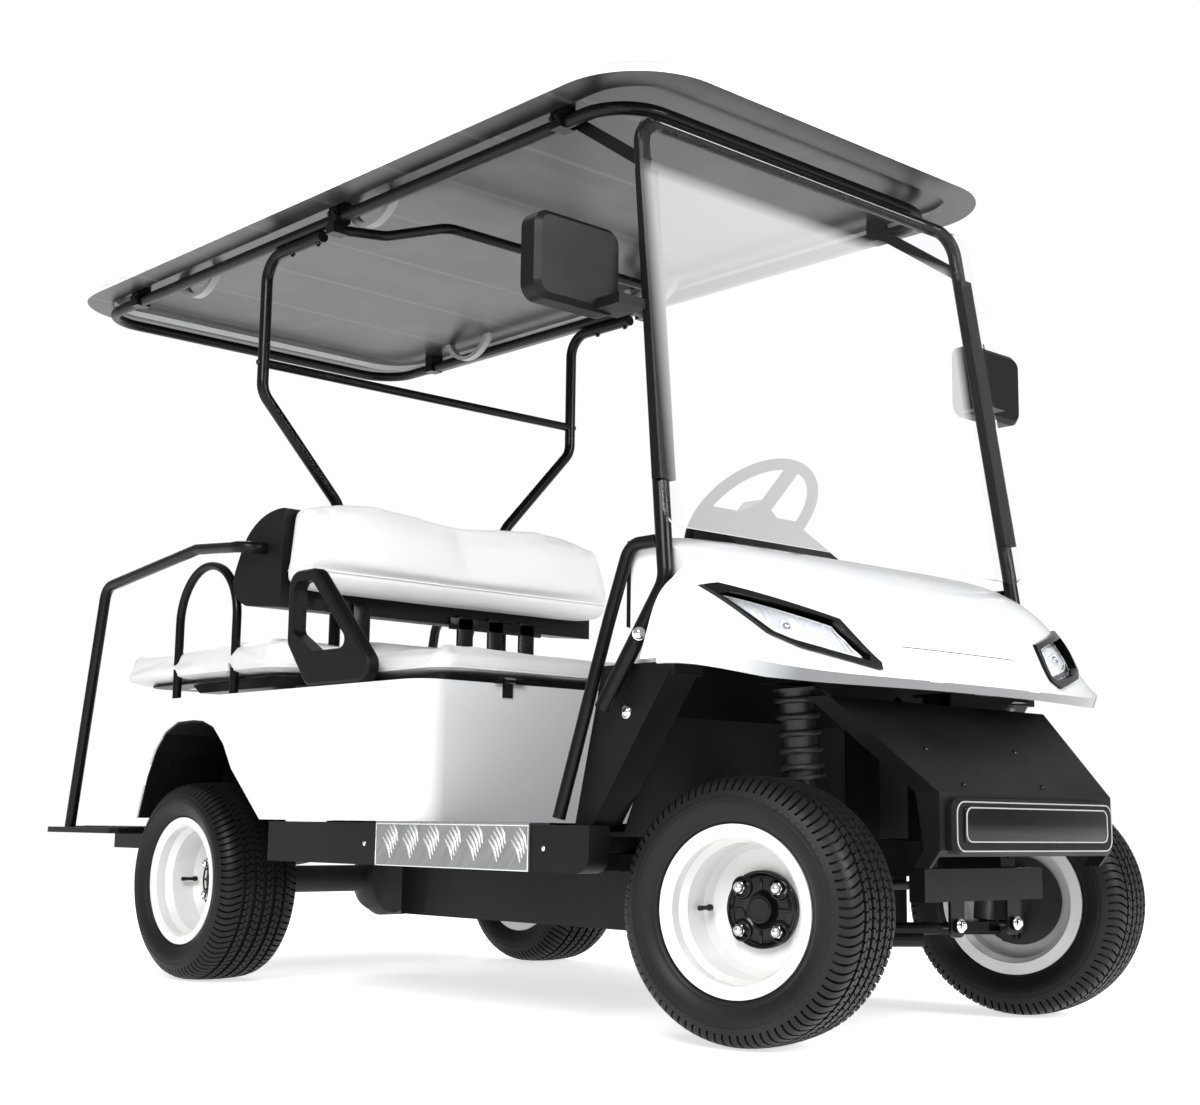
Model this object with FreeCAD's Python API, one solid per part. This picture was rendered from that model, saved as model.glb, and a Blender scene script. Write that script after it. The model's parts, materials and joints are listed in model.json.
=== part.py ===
import FreeCAD, Part
import math
import os

# A four-seat electric golf cart with a canopy roof, a rear-facing back seat and a footrest.
# Millimetres. Forward is -Y, the cart's left is +X, up is +Z. The origin is on the floor under
# the middle of the whole cart. Places called "aft" are distances behind the front axle.

V = FreeCAD.Vector
X_AXIS = V(1, 0, 0)
Y_AXIS = V(0, 1, 0)
Z_AXIS = V(0, 0, 1)

# Stance of the whole cart
front_overhang = 305.0
wheelbase = 1626.0
rear_overhang = 814.0
overall_length = front_overhang + wheelbase + rear_overhang
front_axle_y = front_overhang - overall_length / 2
overrun = 40.0
seat_gap = 0.3
sheet = 4.0
parallel_share = 0.9

# Wheels and tyres
tyre_radius = 226.0
tyre_width = 205.0
axle_height = tyre_radius
rim_flange_radius = 144.0
rim_seat_radius = 127.0
rim_barrel_radius = 118.0
rim_width = 172.0
rim_gauge = 5.0
rim_flange_lip = 9.0
rim_shelf = 27.0
rim_step = 15.0
dish_depth = 112.0
running_gap = 0.08
cap_radius = 66.0
cap_depth = 15.0
cap_dome = 7.0
cap_boss_radius = 27.0
lug_circle_radius = 50.8
lug_radius = 9.5
lug_length = 17.0
lug_count = 4
tyre_shoulder = 26.0
tyre_crown_drop = 5.0
bead_flange_gap = 1.0

# Front steering gear
front_track = 842.0
kingpin_x = 356.0
steer_angle = 14.3
kingpin_radius = 13.0
kingpin_collar_share = 1.5
kingpin_half_height = 62.0
spindle_radius = 14.0
brake_radius = 88.0
brake_depth = 6.0
brake_gap = 7.0
steer_arm_aft = 74.0
steer_arm_thickness = 10.0
steer_arm_width = 26.0
steer_arm_rise = 12.0
tie_rod_radius = 8.0
tie_rod_eye_radius = 11.0
tie_rod_eye_height = 16.0
tie_pin_radius = 5.0

# Rear axle
rear_wheel_inset = 90.4
axle_tube_radius = 32.0
drum_radius = 92.0
drum_depth = 70.0
drum_gap = 5.0
diff_radius = 92.0
diff_end_share = 0.8
diff_neck_share = 1.4
diff_width = 130.0
motor_radius = 88.0
motor_length = 230.0
motor_offset = 168.0

# Chassis
rail_width = 45.0
rail_height = 62.0
rail_bottom = 282.0
front_rail_x = 118.0
front_rail_end_aft = 330.0
main_rail_x = 352.0
main_rail_end_aft = 1255.0
rear_rail_rise = 150.0
cross_aft = (352.0, 700.0, 1232.0)
beam_x = 178.0
beam_aft = -168.0
beam_depth = 34.0
beam_height = 57.0
bracket_x = 85.0
bracket_width = 40.0
bracket_drop = 62.0
bracket_gauge = 6.0
bracket_bolt_radius = 6.0

# Front suspension
arm_radius = 12.0
arm_eye_share = 1.4
arm_stud_share = 5 / 11
arm_height = 172.0
arm_tip_x = 318.0
arm_rear_aft = 120.0
ball_pad_radius = 10.0
arm_plate = 5.0
strut_foot_x = 248.0
strut_head_x = 304.0
strut_head_height = 612.0
damper_radius = 19.0
coil_radius = 34.0
coil_wire = 6.0
coil_turns = 5
coil_base_height = 452.0
tower_width = 90.0
tower_gauge = 6.0

# Rear suspension
spring_half_length = 270.0
spring_leaf_width = 46.0
spring_leaf_gauge = 8.0
spring_leaves = 3
spring_bow = 46.0
spring_eye_radius = 19.0
shackle_gauge = 16.0

# Battery cradle
cradle_front_aft = 412.0
cradle_rear_aft = 1143.0
cradle_x = 318.0
cradle_bottom = 166.0
cradle_gauge = 5.0
cradle_lip = 24.0
battery_clearance = 12.0
battery_height = 285.0
battery_front_aft = 742.0

# Floor and rockers
floor_side_gap = 3.0
floor_front_aft = 268.0
toe_top_aft = 172.0
toe_top_height = 560.0
bulkhead_top = 790.0
floor_rear_aft = 716.0
rocker_inset = 6.0
rocker_width = 49.0
rocker_front_aft = 224.0
rocker_rear_aft = 1262.0
rocker_top = 364.0
rocker_bottom = 280.0
rocker_corner = 34.0
tread_front_aft = 383.0
tread_rear_aft = 858.0
tread_gauge = 3.0
tread_lip = 46.0

# Front cowl
cowl_half_width = 590.0
cowl_nose_reach = 200.0
cowl_side_aft = 62.0
cowl_rear_aft = 210.0
cowl_plan_power = 2.6
cowl_top_power = 8
cowl_lip_power = 6
cowl_top = 893.0
cowl_side_drop = 60.0
cowl_lip_height = 598.0
cowl_lip_rise = 42.0
cowl_lip_band = 24.0
cowl_lip_tuck = 10.0
cowl_wall = 4.0
cowl_skirt_height = 648.0
cowl_profile_shares = ((0.11, 0.16), (0.22, 0.385), (0.48, 0.768), (0.65, 0.905), (0.85, 0.985))
cowl_section_angles = (0, 14, 28, 42, 55, 66, 75, 82, 87, 90)
recess_x = 511.0
recess_top_aft = 44.0
recess_kink_aft = 52.0
recess_kink_height = 788.0
recess_foot_aft = 132.0

# Headlights, outlines as places on the cowl seen from the front
lamp_low_x = 262.0
lamp_low_height = 636.0
lamp_reach = 276.0
lamp_rise = 144.0
lamp_outline_shares = ((1.0, 0.96), (0.906, 1.0), (0.138, 0.64), (0.0, 0.1), (0.043, 0.0), (0.572, 0.22),
                       (0.746, 0.375))
lamp_rim = 17.0
lamp_proud = 7.0
lamp_bezel_depth = 22.0
lens_inset = 1.5
lens_gauge = 5.0
lamp_gap = 0.4
lamp_back_aft = 60.0

# Lower apron with its raised bumper pad
apron_half_top = 326.0
apron_half_bottom = 262.0
apron_top_height = 592.0
apron_top_aft = -98.0
apron_low_height = 330.0
apron_low_aft = -282.0
apron_wall = 8.0
apron_return = 50.0
apron_low_return = 34.0
apron_toe_height = 300.0
apron_toe_aft = -258.0
pad_half_width = 244.0
pad_top = 418.0
pad_bottom = 322.0
pad_proud = 16.0
pad_corner = 20.0
pad_slope = 6.0

# Door edge trims and inner side panels
trim_gauge = 12.0
trim_lean_share = 1.1
trim_bend = 34.0
side_panel_gap = 2.0
side_panel_wall = 6.0
side_panel_inner_x = 470.0
panel_top_front_aft = 66.0
panel_low_front_aft = 272.0
trim_foot_inset = 9.0
trim_foot_aft = 329.0
trim_mid_x = 534.0
trim_mid_aft = 242.0
trim_mid_height = 731.0
trim_top_aft = 200.0
trim_top_height = 866.0

# Dash and steering
dash_half_width = 506.0
dash_rear_aft = 330.0
dash_side_aft = 226.0
dash_flat_half = 330.0
dash_top = 906.0
dash_bottom = 720.0
dash_shelf_height = 800.0
dash_front_top = 872.0
dash_corner = 20.0
dash_foot_rise = 60.0
dash_foot_inset = 40.0
pocket_width = 250.0
pocket_height = 94.0
pocket_depth = 68.0
pocket_x = -165.0
pocket_low_height = 791.0
hood_half_width = 158.0
hood_top = 1000.0
hood_rear_aft = 400.0
hood_front_aft = 262.0
hood_corner = 14.0
wheel_x = 205.0
wheel_aft = 575.0
wheel_height = 1050.0
column_tilt = 42.0
steering_wheel_radius = 158.0
steering_grip_radius = 13.0
steering_hub_radius = 46.0
steering_hub_depth = 34.0
steering_spoke_width = 34.0
steering_spoke_gauge = 12.0
column_radius = 22.0
column_shroud_radius = 36.0
shroud_length = 190.0
column_foot_height = 545.0
column_gap = 0.5

# Pedals
pedal_width = 74.0
pedal_height = 96.0
pedal_gauge = 12.0
pedal_spacing = 118.0
pedal_aft = 330.0
pedal_floor_gap = 46.0
pedal_arm_radius = 8.0

# Rear body
body_half_width = 598.0
body_top = 648.0
body_front_aft = 716.0
body_wall = 4.0
body_corner = 60.0
body_rear_top_aft = 1716.0
body_rear_low_aft = 1856.0
rail_window_gap = 5.0
body_opening_x = 470.0
body_opening_front_aft = 760.0
body_opening_rear_aft = 1240.0
arch_front_aft = 1292.0
arch_tail_aft = 1846.0
arch_top = 594.0
arch_shares = ((0.231, 0.496), (0.3, 0.74), (0.386, 0.92), (0.47, 0.985), (0.55, 1.0), (0.686, 0.99),
               (0.79, 0.89),
               (0.87, 0.7), (0.935, 0.43))
liner_wall = 5.0
liner_inner_x = 392.0

# Front seat
seat_half_width = 548.0
seat_front_aft = 722.0
seat_rear_aft = 1262.0
seat_board_gauge = 12.0
seat_cushion_height = 62.0
seat_front_corner = 60.0
seat_hinge_radius = 6.0
seat_pin_radius = 2.6
seat_hinge_length = 70.0
seat_eye_share = 0.28
seat_knuckle_share = 0.2
seat_hinge_x = 380.0
cushion_corner = 26.0

# Hip restraints
hip_thickness = 34.0
hip_front_aft = 852.0
hip_foot_aft = 1132.0
hip_rear_aft = 1214.0
hip_knee_height = 746.0
hip_top = 906.0
hip_crown_aft = 1112.0
hip_bar = 25.0
hip_sill = 76.0
hip_corner = 36.0
hip_edge = 9.0

# Seat backs and their shell
back_half_width = 486.0
back_bottom = 892.0
back_top_edge = 1092.0
back_lobe_rise = 46.0
back_crown_share = 1.4
back_dip = 18.0
back_rear_aft = 1426.0
back_roll_depth = 88.0
back_corner = 40.0
back_height_shares = ((0.0, 0.75), (0.16, 1.0), (0.4, 0.93), (0.72, 0.62), (1.0, 0.42))
shell_rear_aft = 1636.0
shell_half_width = 484.0
shell_bottom = 856.0
shell_top = 1090.0
shell_side_shares = ((1.0, 0.26), (0.93, 0.42), (0.8, 0.66), (0.55, 0.88), (0.25, 0.985), (0.0, 1.0))
shell_belly_share = 0.72
shell_belly_rise = 14.0
shell_lip_rise = 44.0
rear_back_gauge = 44.0
rear_back_bottom = 890.0
rear_back_top = 1066.0
rear_back_half_width = 442.0
cushion_gap = 0.3

# Rear seat
rear_seat_front_aft = 1440.0
rear_seat_rear_aft = 2212.0
rear_seat_half_width = 486.0
rear_seat_bottom = 706.0
rear_seat_height = 92.0
rear_seat_corner = 70.0
rear_pan_front_aft = 1470.0
rear_pan_rear_aft = 2120.0
rear_pan_half_width = 452.0
rear_pan_depth = 26.0
rear_pan_slope_share = 1.5
rear_pan_rim = 5.0
rear_tray_front_aft = 1540.0
rear_tray_rear_aft = 1890.0
rear_post_aft = 1700.0

# Tubes of the back seat
rail_tube_radius = 14.0
rail_x = 540.0
rail_bend = 44.0
rail_start_aft = 1500.0
rail_start_height = 1000.0
rail_shoulder_aft = 1716.0
rail_shoulder_height = 1016.0
rail_elbow_aft = 2180.0
rail_elbow_height = 962.0
rail_foot_aft = 2318.0
hoop_radius = 11.0
hoop_x = 462.0
hoop_front_aft = 1652.0
hoop_rear_aft = 1925.0
hoop_top = 990.0
leg_clearance = 5.0

# Footrest
footrest_top = 342.0
footrest_gauge = 14.0
footrest_half_width = 556.0
footrest_front_aft = 2040.0
footrest_rear_aft = 2426.0
footrest_arm_width = 40.0
footrest_tread_rise = 3.0
footrest_tread_inset = 56.0

# Roof canopy
roof_half_width = 588.0
roof_front_aft = 130.0
roof_rear_aft = wheelbase + rear_overhang
roof_lip_height = 1765.0
roof_side_height = 42.0
roof_crown = 34.0
roof_corner = 190.0
roof_edge_inset = 52.0
roof_recess_inset = 70.0
roof_recess_depth = 16.0

# Roof frame
roof_tube_radius = 14.0
roof_tube_x = 494.0
roof_tube_height = 1745.0
roof_tube_front_aft = 267.0
roof_tube_rear_aft = 2393.0
roof_tube_bend = 110.0
clamp_aft = (440.0, 1224.0, 2170.0)
clamp_width = 40.0
clamp_length = 32.0
overhead_radius = 12.0
overhead_start_aft = 1233.0
overhead_knee_x = 385.0
overhead_knee_aft = 1190.0
overhead_bow_x = 318.0
overhead_bow_aft = 1040.0
overhead_bend = 36.0
hook_aft = ((1057.0, 1254.0), (1834.0, 2038.0))
hook_x = 438.0
hook_drop = 62.0
hook_width = 20.0
hook_gauge = 11.0

# Rear roof struts
strut_tube_radius = 14.0
strut_top_aft = 1290.0
strut_aft = 1529.0
strut_knee_height = 1385.0
strut_low_x = 262.0
strut_low_height = 1135.0
strut_bend = 60.0
brace_height = 1456.0
brace_radius = 11.0

# Windshield
post_radius = 15.0
post_top_x = 488.0
post_top_height = 1694.0
post_top_aft = 222.0
post_kink_x = 532.0
post_kink_height = 791.0
post_kink_aft = 98.0
post_bolt_x = 574.0
post_bolt_height = 568.0
post_bolt_aft = 214.0
post_bend = 56.0
glass_gauge = 5.0
glass_stand_off = 18.5
glass_top_half = 516.0
glass_low_half = 544.0
glass_top_height = 1688.0
glass_low_height = 889.0
glass_corner = 36.0
channel_top_height = 1583.0
channel_low_height = 974.0
channel_width = 40.0
channel_depth = 20.0
channel_gauge = 2.4
wind_brace_aft = 416.0
wind_brace_width = 24.0
wind_brace_gauge = 6.0
wind_brace_height = 1602.0

# Mirrors
mirror_in_x = 536.0
mirror_out_x = 742.0
mirror_aft = 262.0
mirror_low = 1292.0
mirror_high = 1456.0
mirror_depth = 46.0
mirror_corner = 30.0
mirror_rim = 10.0
mirror_arm_width = 20.0
mirror_arm_height = 1306.0

# Places that several pieces share
rear_axle_y = front_axle_y + wheelbase
rear_track = (body_half_width - rear_wheel_inset) * 2
rocker_x = body_half_width - rocker_inset
rocker_inner_x = rocker_x - rocker_width
floor_half_width = rocker_inner_x - floor_side_gap
side_panel_x = rocker_inner_x - side_panel_gap
trim_foot_x = rocker_x - trim_foot_inset
hip_x = body_half_width - hip_thickness / 2
wheel_offset = front_track / 2 - kingpin_x
rail_top = rail_bottom + rail_height
floor_top = rail_top + seat_gap + sheet
body_bottom = rocker_top + tread_gauge + seat_gap * 2
spring_x = main_rail_x
rear_rail_end_aft = hoop_rear_aft - hoop_radius - seat_gap
roof_ceiling_height = roof_lip_height + roof_recess_depth
strut_top_height = roof_tube_height - roof_tube_radius - strut_tube_radius - seat_gap
overhead_height = roof_tube_height - roof_tube_radius - overhead_radius - seat_gap
shell_front_aft = back_rear_aft + cushion_gap


def aft(distance):
    return front_axle_y + distance


def box(x0, x1, y0, y1, z0, z1):
    return Part.makeBox(x1 - x0, y1 - y0, z1 - z0, V(x0, y0, z0))


def mirrored(shape):
    return shape.mirror(V(0, 0, 0), X_AXIS)


def both_sides(shape):
    return Part.makeCompound([shape, mirrored(shape)])


def rod(start, end, radius):
    return Part.makeCylinder(radius, (end - start).Length, start, end - start)


def polygon_face(points):
    return Part.Face(Part.makePolygon(list(points) + [points[0]]))


def prism(points, along):
    return polygon_face(points).extrude(along)


def side_prism(outline, x0, x1):
    """An outline of (y, z) places drawn out across the cart from x0 to x1."""
    return prism([V(x0, y, z) for y, z in outline], V(x1 - x0, 0, 0))


def rounded_path(points, bend):
    """Straight runs joined by tangent arcs of the bend radius."""
    edges = []
    start = points[0]
    for before, corner, after in zip(points, points[1:], points[2:]):
        into = (corner - before).normalize()
        out = (after - corner).normalize()
        turn = into.getAngle(out)
        reach = bend * math.tan(turn / 2)
        first = corner - into * reach
        last = corner + out * reach
        towards = (out - into).normalize()
        middle = corner + towards * (bend / math.cos(turn / 2) - bend)
        edges.append(Part.LineSegment(start, first).toShape())
        edges.append(Part.Arc(first, middle, last).toShape())
        start = last
    edges.append(Part.LineSegment(start, points[-1]).toShape())
    return Part.Wire(edges)


def rounded_loop(points, corner):
    """A closed outline whose corners are arcs of one radius."""
    closed = [points[-1]] + list(points) + [points[0]]
    edges = []
    ends = []
    for before, here, after in zip(closed, closed[1:], closed[2:]):
        into = (here - before).normalize()
        out = (after - here).normalize()
        turn = into.getAngle(out)
        reach = corner * math.tan(turn / 2)
        towards = (out - into).normalize()
        middle = here + towards * (corner / math.cos(turn / 2) - corner)
        ends.append((here - into * reach, middle, here + out * reach))
    for (first, middle, last), (following, _, _) in zip(ends, ends[1:] + ends[:1]):
        edges.append(Part.Arc(first, middle, last).toShape())
        edges.append(Part.LineSegment(last, following).toShape())
    return Part.Wire(edges)


def tube(points, radius, bend):
    circle = Part.Circle(points[0], points[1] - points[0], radius).toShape()
    return rounded_path(points, bend).makePipeShell([Part.Wire(circle)], True, False)


def rounded_box(x0, x1, y0, y1, z0, z1, corner, direction):
    """A box whose four edges along one axis are rounded."""
    solid = box(x0, x1, y0, y1, z0, z1)
    edges = [e for e in solid.Edges if abs(e.tangentAt(e.FirstParameter).dot(direction)) > parallel_share]
    return solid.makeFillet(corner, edges)


def soft_box(x0, x1, y0, y1, z0, z1, corner, edge):
    """A cushion: rounded corners in plan and a rounded rim above and below."""
    solid = rounded_box(x0, x1, y0, y1, z0, z1, corner, Z_AXIS)
    rims = [e for e in solid.Edges
            if abs(e.BoundBox.ZMax - e.BoundBox.ZMin) < seat_gap]
    return solid.makeFillet(edge, rims)


def revolved_about_x(profile):
    face = polygon_face([V(x, 0, r) for x, r in profile])
    return face.revolve(V(0, 0, 0), X_AXIS, 360)


def turned(shape, angle):
    """Turned about the wheel's own upright kingpin, which stands at x = 0 here."""
    moved = shape.copy()
    moved.rotate(V(0, 0, 0), Z_AXIS, angle)
    return moved


def ring_places(count, radius):
    return [V(0, radius * math.cos(2 * math.pi * i / count + math.pi / 4),
              radius * math.sin(2 * math.pi * i / count + math.pi / 4)) for i in range(count)]


# Wheels are drawn round the X axis with their outboard side towards +X.
def tyre():
    half = tyre_width / 2
    bead_x = rim_width / 2 - rim_gauge - bead_flange_gap
    bead_top = rim_flange_radius + bead_flange_gap
    belly = (tyre_radius + rim_seat_radius) / 2
    outer = tyre_radius - tyre_crown_drop
    points = [V(bead_x, 0, rim_seat_radius + seat_gap), V(bead_x, 0, bead_top),
              V(rim_width / 2 - bead_flange_gap, 0, bead_top), V(half, 0, belly)]
    shoulder = V(half - tyre_shoulder, 0, outer)
    edges = [Part.LineSegment(a, b).toShape() for a, b in zip(points, points[1:])]
    bulge = V(half - tyre_shoulder / 4, 0, outer - tyre_shoulder / 2)
    edges.append(Part.Arc(points[-1], bulge, shoulder).toShape())
    crown = V(0, 0, tyre_radius)
    edges.append(Part.Arc(shoulder, crown, V(-shoulder.x, 0, shoulder.z)).toShape())
    left = [V(-p.x, 0, p.z) for p in points]
    edges.append(Part.Arc(V(-shoulder.x, 0, shoulder.z), V(-bulge.x, 0, bulge.z), left[-1]).toShape())
    edges += [Part.LineSegment(a, b).toShape() for a, b in zip(left[::-1], left[-2::-1])]
    edges.append(Part.LineSegment(left[0], points[0]).toShape())
    return Part.Face(Part.Wire(edges)).revolve(V(0, 0, 0), X_AXIS, 360)


def rim():
    """A deep-dish pressed wheel: stepped barrel, rolled flanges and a hub disc set far inboard."""
    edge = rim_width / 2
    seat = rim_seat_radius
    barrel = rim_barrel_radius
    disc = edge - dish_depth
    outline = [
        (edge, rim_flange_radius), (edge - rim_gauge, rim_flange_radius),
        (edge - rim_gauge, seat), (edge - rim_shelf, seat),
        (edge - rim_shelf - rim_step, barrel), (-edge + rim_shelf, barrel),
        (-edge + rim_flange_lip * 2, seat), (-edge + rim_gauge, seat),
        (-edge + rim_gauge, rim_flange_radius), (-edge, rim_flange_radius),
        (-edge, seat - rim_gauge), (-edge + rim_flange_lip, seat - rim_gauge),
        (-edge + rim_flange_lip * 2, barrel - rim_gauge), (disc - rim_gauge, barrel - rim_gauge),
        (disc - rim_gauge, spindle_radius + running_gap), (disc, spindle_radius + running_gap),
        (disc, barrel - rim_step), (disc + rim_step, barrel - rim_gauge),
        (edge - rim_shelf - rim_step, barrel - rim_gauge),
        (edge - rim_shelf, seat - rim_gauge), (edge - rim_gauge, seat - rim_gauge),
        (edge, seat)]
    return revolved_about_x(outline)


def wheel_cap():
    """The black hub cap with its raised round boss and four bright wheel nuts through it."""
    face = rim_width / 2 - dish_depth + seat_gap
    profile = [(face, 0), (face, cap_radius), (face + cap_depth - cap_dome, cap_radius),
               (face + cap_depth, cap_radius - cap_dome * 2), (face + cap_depth, cap_boss_radius + cap_dome),
               (face + cap_depth - cap_dome / 2, cap_boss_radius),
               (face + cap_depth + cap_dome, cap_boss_radius - cap_dome / 2),
               (face + cap_depth + cap_dome, 0)]
    cap = revolved_about_x(profile)
    nuts = [Part.makeCylinder(lug_radius, lug_length + cap_depth / 2, V(face + cap_depth / 2, 0, 0) + p,
                              X_AXIS)
            for p in ring_places(lug_count, lug_circle_radius)]
    return cap.multiFuse(nuts)


def placed_front(shape, side):
    """From the wheel's frame at the kingpin to the cart, side +1 left and -1 right."""
    own = shape if side > 0 else mirrored(shape)
    own = turned(own, steer_angle)
    own.translate(V(side * kingpin_x, front_axle_y, axle_height))
    return own


def front_wheel_piece(shape, side):
    own = shape.copy()
    own.translate(V(wheel_offset, 0, 0))
    return placed_front(own, side)


def rear_wheel_piece(shape, side):
    own = shape.copy() if side > 0 else mirrored(shape)
    own.translate(V(side * rear_track / 2, rear_axle_y, axle_height))
    return own


def knuckle():
    """Kingpin post, brake backing with caliper side, wheel spindle and steering arm."""
    disc_x = wheel_offset + rim_width / 2 - dish_depth - rim_gauge
    post = Part.makeCylinder(kingpin_radius * kingpin_collar_share, kingpin_half_height * 2,
                             V(0, 0, -kingpin_half_height))
    brake = Part.makeCylinder(brake_radius, brake_depth, V(disc_x - brake_gap - brake_depth, 0, 0), X_AXIS)
    boss = Part.makeCylinder(spindle_radius * 2, disc_x - brake_gap - seat_gap, V(0, 0, 0), X_AXIS)
    spindle = Part.makeCylinder(spindle_radius, disc_x + rim_gauge - seat_gap, V(0, 0, 0), X_AXIS)
    tip = V(0, steer_arm_aft, steer_arm_rise)
    half = steer_arm_width / 2
    arm = box(-half, half, 0, steer_arm_aft, steer_arm_rise, steer_arm_rise + steer_arm_thickness)
    pad = Part.makeCylinder(steer_arm_width / 2, steer_arm_thickness, tip)
    pin = Part.makeCylinder(tie_pin_radius, tie_rod_eye_height + steer_arm_thickness, tip)
    return post.multiFuse([brake, boss, spindle, arm, pad, pin])


def tie_pin_place(side):
    """The pin at the tip of one steering arm, as parked."""
    tip = V(0, steer_arm_aft, steer_arm_rise + steer_arm_thickness)
    turn = math.radians(steer_angle)
    x = tip.x * math.cos(turn) - tip.y * math.sin(turn)
    y = tip.x * math.sin(turn) + tip.y * math.cos(turn)
    return V(side * kingpin_x + x, front_axle_y + y, axle_height + tip.z)


def tie_rod():
    lift = V(0, 0, seat_gap)
    ends = [tie_pin_place(side) + lift for side in (-1, 1)]
    bore = tie_pin_radius + running_gap
    eyes = [Part.makeCylinder(tie_rod_eye_radius, tie_rod_eye_height, p) for p in ends]
    middle = V(0, 0, tie_rod_eye_height / 2)
    bar = rod(ends[0] + middle, ends[1] + middle, tie_rod_radius)
    body = eyes[0].multiFuse([eyes[1], bar])
    for p in ends:
        body = body.cut(Part.makeCylinder(bore, tie_rod_eye_height + overrun * 2, p - V(0, 0, overrun)))
    return body


# Chassis pieces
def chassis_frame():
    rails = []
    bottom = rail_bottom
    top = rail_top
    for side in (-1, 1):
        x = side * front_rail_x
        rails.append(box(x - rail_width / 2, x + rail_width / 2, aft(beam_aft + beam_depth / 2),
                         aft(front_rail_end_aft), bottom, top))
        x = side * main_rail_x
        rails.append(box(x - rail_width / 2, x + rail_width / 2, aft(front_rail_end_aft),
                         aft(main_rail_end_aft), bottom, top))
        rise = rear_rail_rise
        kick = [(aft(main_rail_end_aft - rail_height), bottom), (aft(main_rail_end_aft), bottom),
                (aft(main_rail_end_aft + rise), bottom + rise), (aft(rear_rail_end_aft), bottom + rise),
                (aft(rear_rail_end_aft), top + rise),
                (aft(main_rail_end_aft + rise - rail_height / 2), top + rise),
                (aft(main_rail_end_aft - rail_height), top)]
        rails.append(side_prism(kick, x - rail_width / 2, x + rail_width / 2))
    outer = main_rail_x + rail_width / 2
    crosses = [box(-outer, outer, aft(y - rail_width / 2), aft(y + rail_width / 2), bottom, top)
               for y in cross_aft]
    tail = box(-outer, outer, aft(rear_rail_end_aft - rail_width), aft(rear_rail_end_aft),
               bottom + rear_rail_rise, top + rear_rail_rise)
    body_posts = [apron_stay(side) for side in (-1, 1)]
    outriggers = [box(side * outer - (0 if side > 0 else rocker_inner_x - seat_gap - outer),
                      side * outer + (rocker_inner_x - seat_gap - outer if side > 0 else 0),
                      aft(y - rail_width / 2), aft(y + rail_width / 2), bottom, top - rail_height / 2)
                  for side in (-1, 1) for y in cross_aft]
    towers = [strut_tower(), mirrored(strut_tower()), rear_arm_bracket(), mirrored(rear_arm_bracket())]
    ends = [tail, front_crossmember()]
    return rails[0].multiFuse(rails[1:] + crosses + ends + body_posts + outriggers + towers)


def apron_face_aft(z):
    """How far aft the apron's sloping face stands at a given height."""
    face_top = apron_low_height + pad_top - pad_bottom
    slope = (apron_top_aft - apron_low_aft) / (apron_top_height - face_top)
    return apron_low_aft + max(0, z - face_top) * slope


def apron_stay(side):
    """A plate from the front rail forward to the back of the apron."""
    rear = aft(beam_aft + beam_depth / 2)
    face_top = apron_low_height + pad_top - pad_bottom
    stay_top = (face_top + apron_top_height) / 2
    gap = apron_wall + seat_gap * 2
    outline = [(rear, rail_top - rail_height / 2), (rear + rail_width, rail_top - rail_height / 2),
               (rear + rail_width, stay_top), (aft(apron_face_aft(stay_top)) + gap, stay_top),
               (aft(apron_low_aft) + gap, face_top), (aft(apron_low_aft) + gap, rail_top + rail_width)]
    x = side * front_rail_x
    return side_prism(outline, x - bracket_gauge / 2, x + bracket_gauge / 2)


def front_crossmember():
    """The box across the nose with its two lower-arm brackets and bolts."""
    top = rail_bottom + beam_height / 4
    y0 = aft(beam_aft - beam_depth / 2)
    y1 = aft(beam_aft + beam_depth / 2)
    beam = box(-beam_x, beam_x, y0, y1, top - beam_height, top)
    pieces = []
    for side in (-1, 1):
        x = side * bracket_x
        bottom = top - beam_height - bracket_drop
        plate = box(x - bracket_width / 2, x + bracket_width / 2, y0, y0 + bracket_gauge, bottom,
                    top - beam_height)
        low = [e for e in plate.Edges if abs(e.BoundBox.ZMax - bottom) < seat_gap
               and abs(e.tangentAt(e.FirstParameter).dot(Y_AXIS)) > parallel_share]
        low_corner = bracket_width / 3
        pieces.append(plate.makeFillet(low_corner, low) if low else plate)
        bolt = V(x, y0 - bracket_gauge, bottom + bracket_width / 2)
        pieces.append(Part.makeCylinder(bracket_bolt_radius, bracket_gauge * 4 + arm_radius, bolt, Y_AXIS))
        pieces.append(Part.makeCylinder(bracket_bolt_radius * 2, bracket_gauge, bolt, Y_AXIS))
    return beam.multiFuse(pieces)


def lower_arm():
    """An A-shaped arm from two inboard pivots to the foot of the kingpin, and the ball stud."""
    tip = V(arm_tip_x, front_axle_y, arm_height)
    front = V(bracket_x + bracket_width, aft(beam_aft + beam_depth / 2 + arm_radius), arm_height)
    rear = V(front_rail_x, aft(arm_rear_aft), arm_height)
    legs = [rod(front, tip, arm_radius), rod(rear, tip, arm_radius)]
    eye = Part.makeCylinder(arm_radius * arm_eye_share, arm_radius * 2, tip - V(0, 0, arm_radius))
    stud_place = V(kingpin_x, front_axle_y, axle_height - kingpin_half_height - seat_gap)
    pad = Part.makeCylinder(ball_pad_radius, arm_radius, stud_place - V(0, 0, arm_radius))
    link = rod(V(arm_tip_x, front_axle_y, stud_place.z - arm_radius / 2),
               V(kingpin_x, front_axle_y, stud_place.z - arm_radius / 2), arm_radius * arm_stud_share)
    half = tower_width / 2
    plate = box(strut_foot_x - half, strut_foot_x + half, front_axle_y - half, front_axle_y + half,
                arm_height,
                arm_height + arm_radius + arm_plate - seat_gap)
    return legs[0].multiFuse([legs[1], eye, pad, link, plate])


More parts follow.
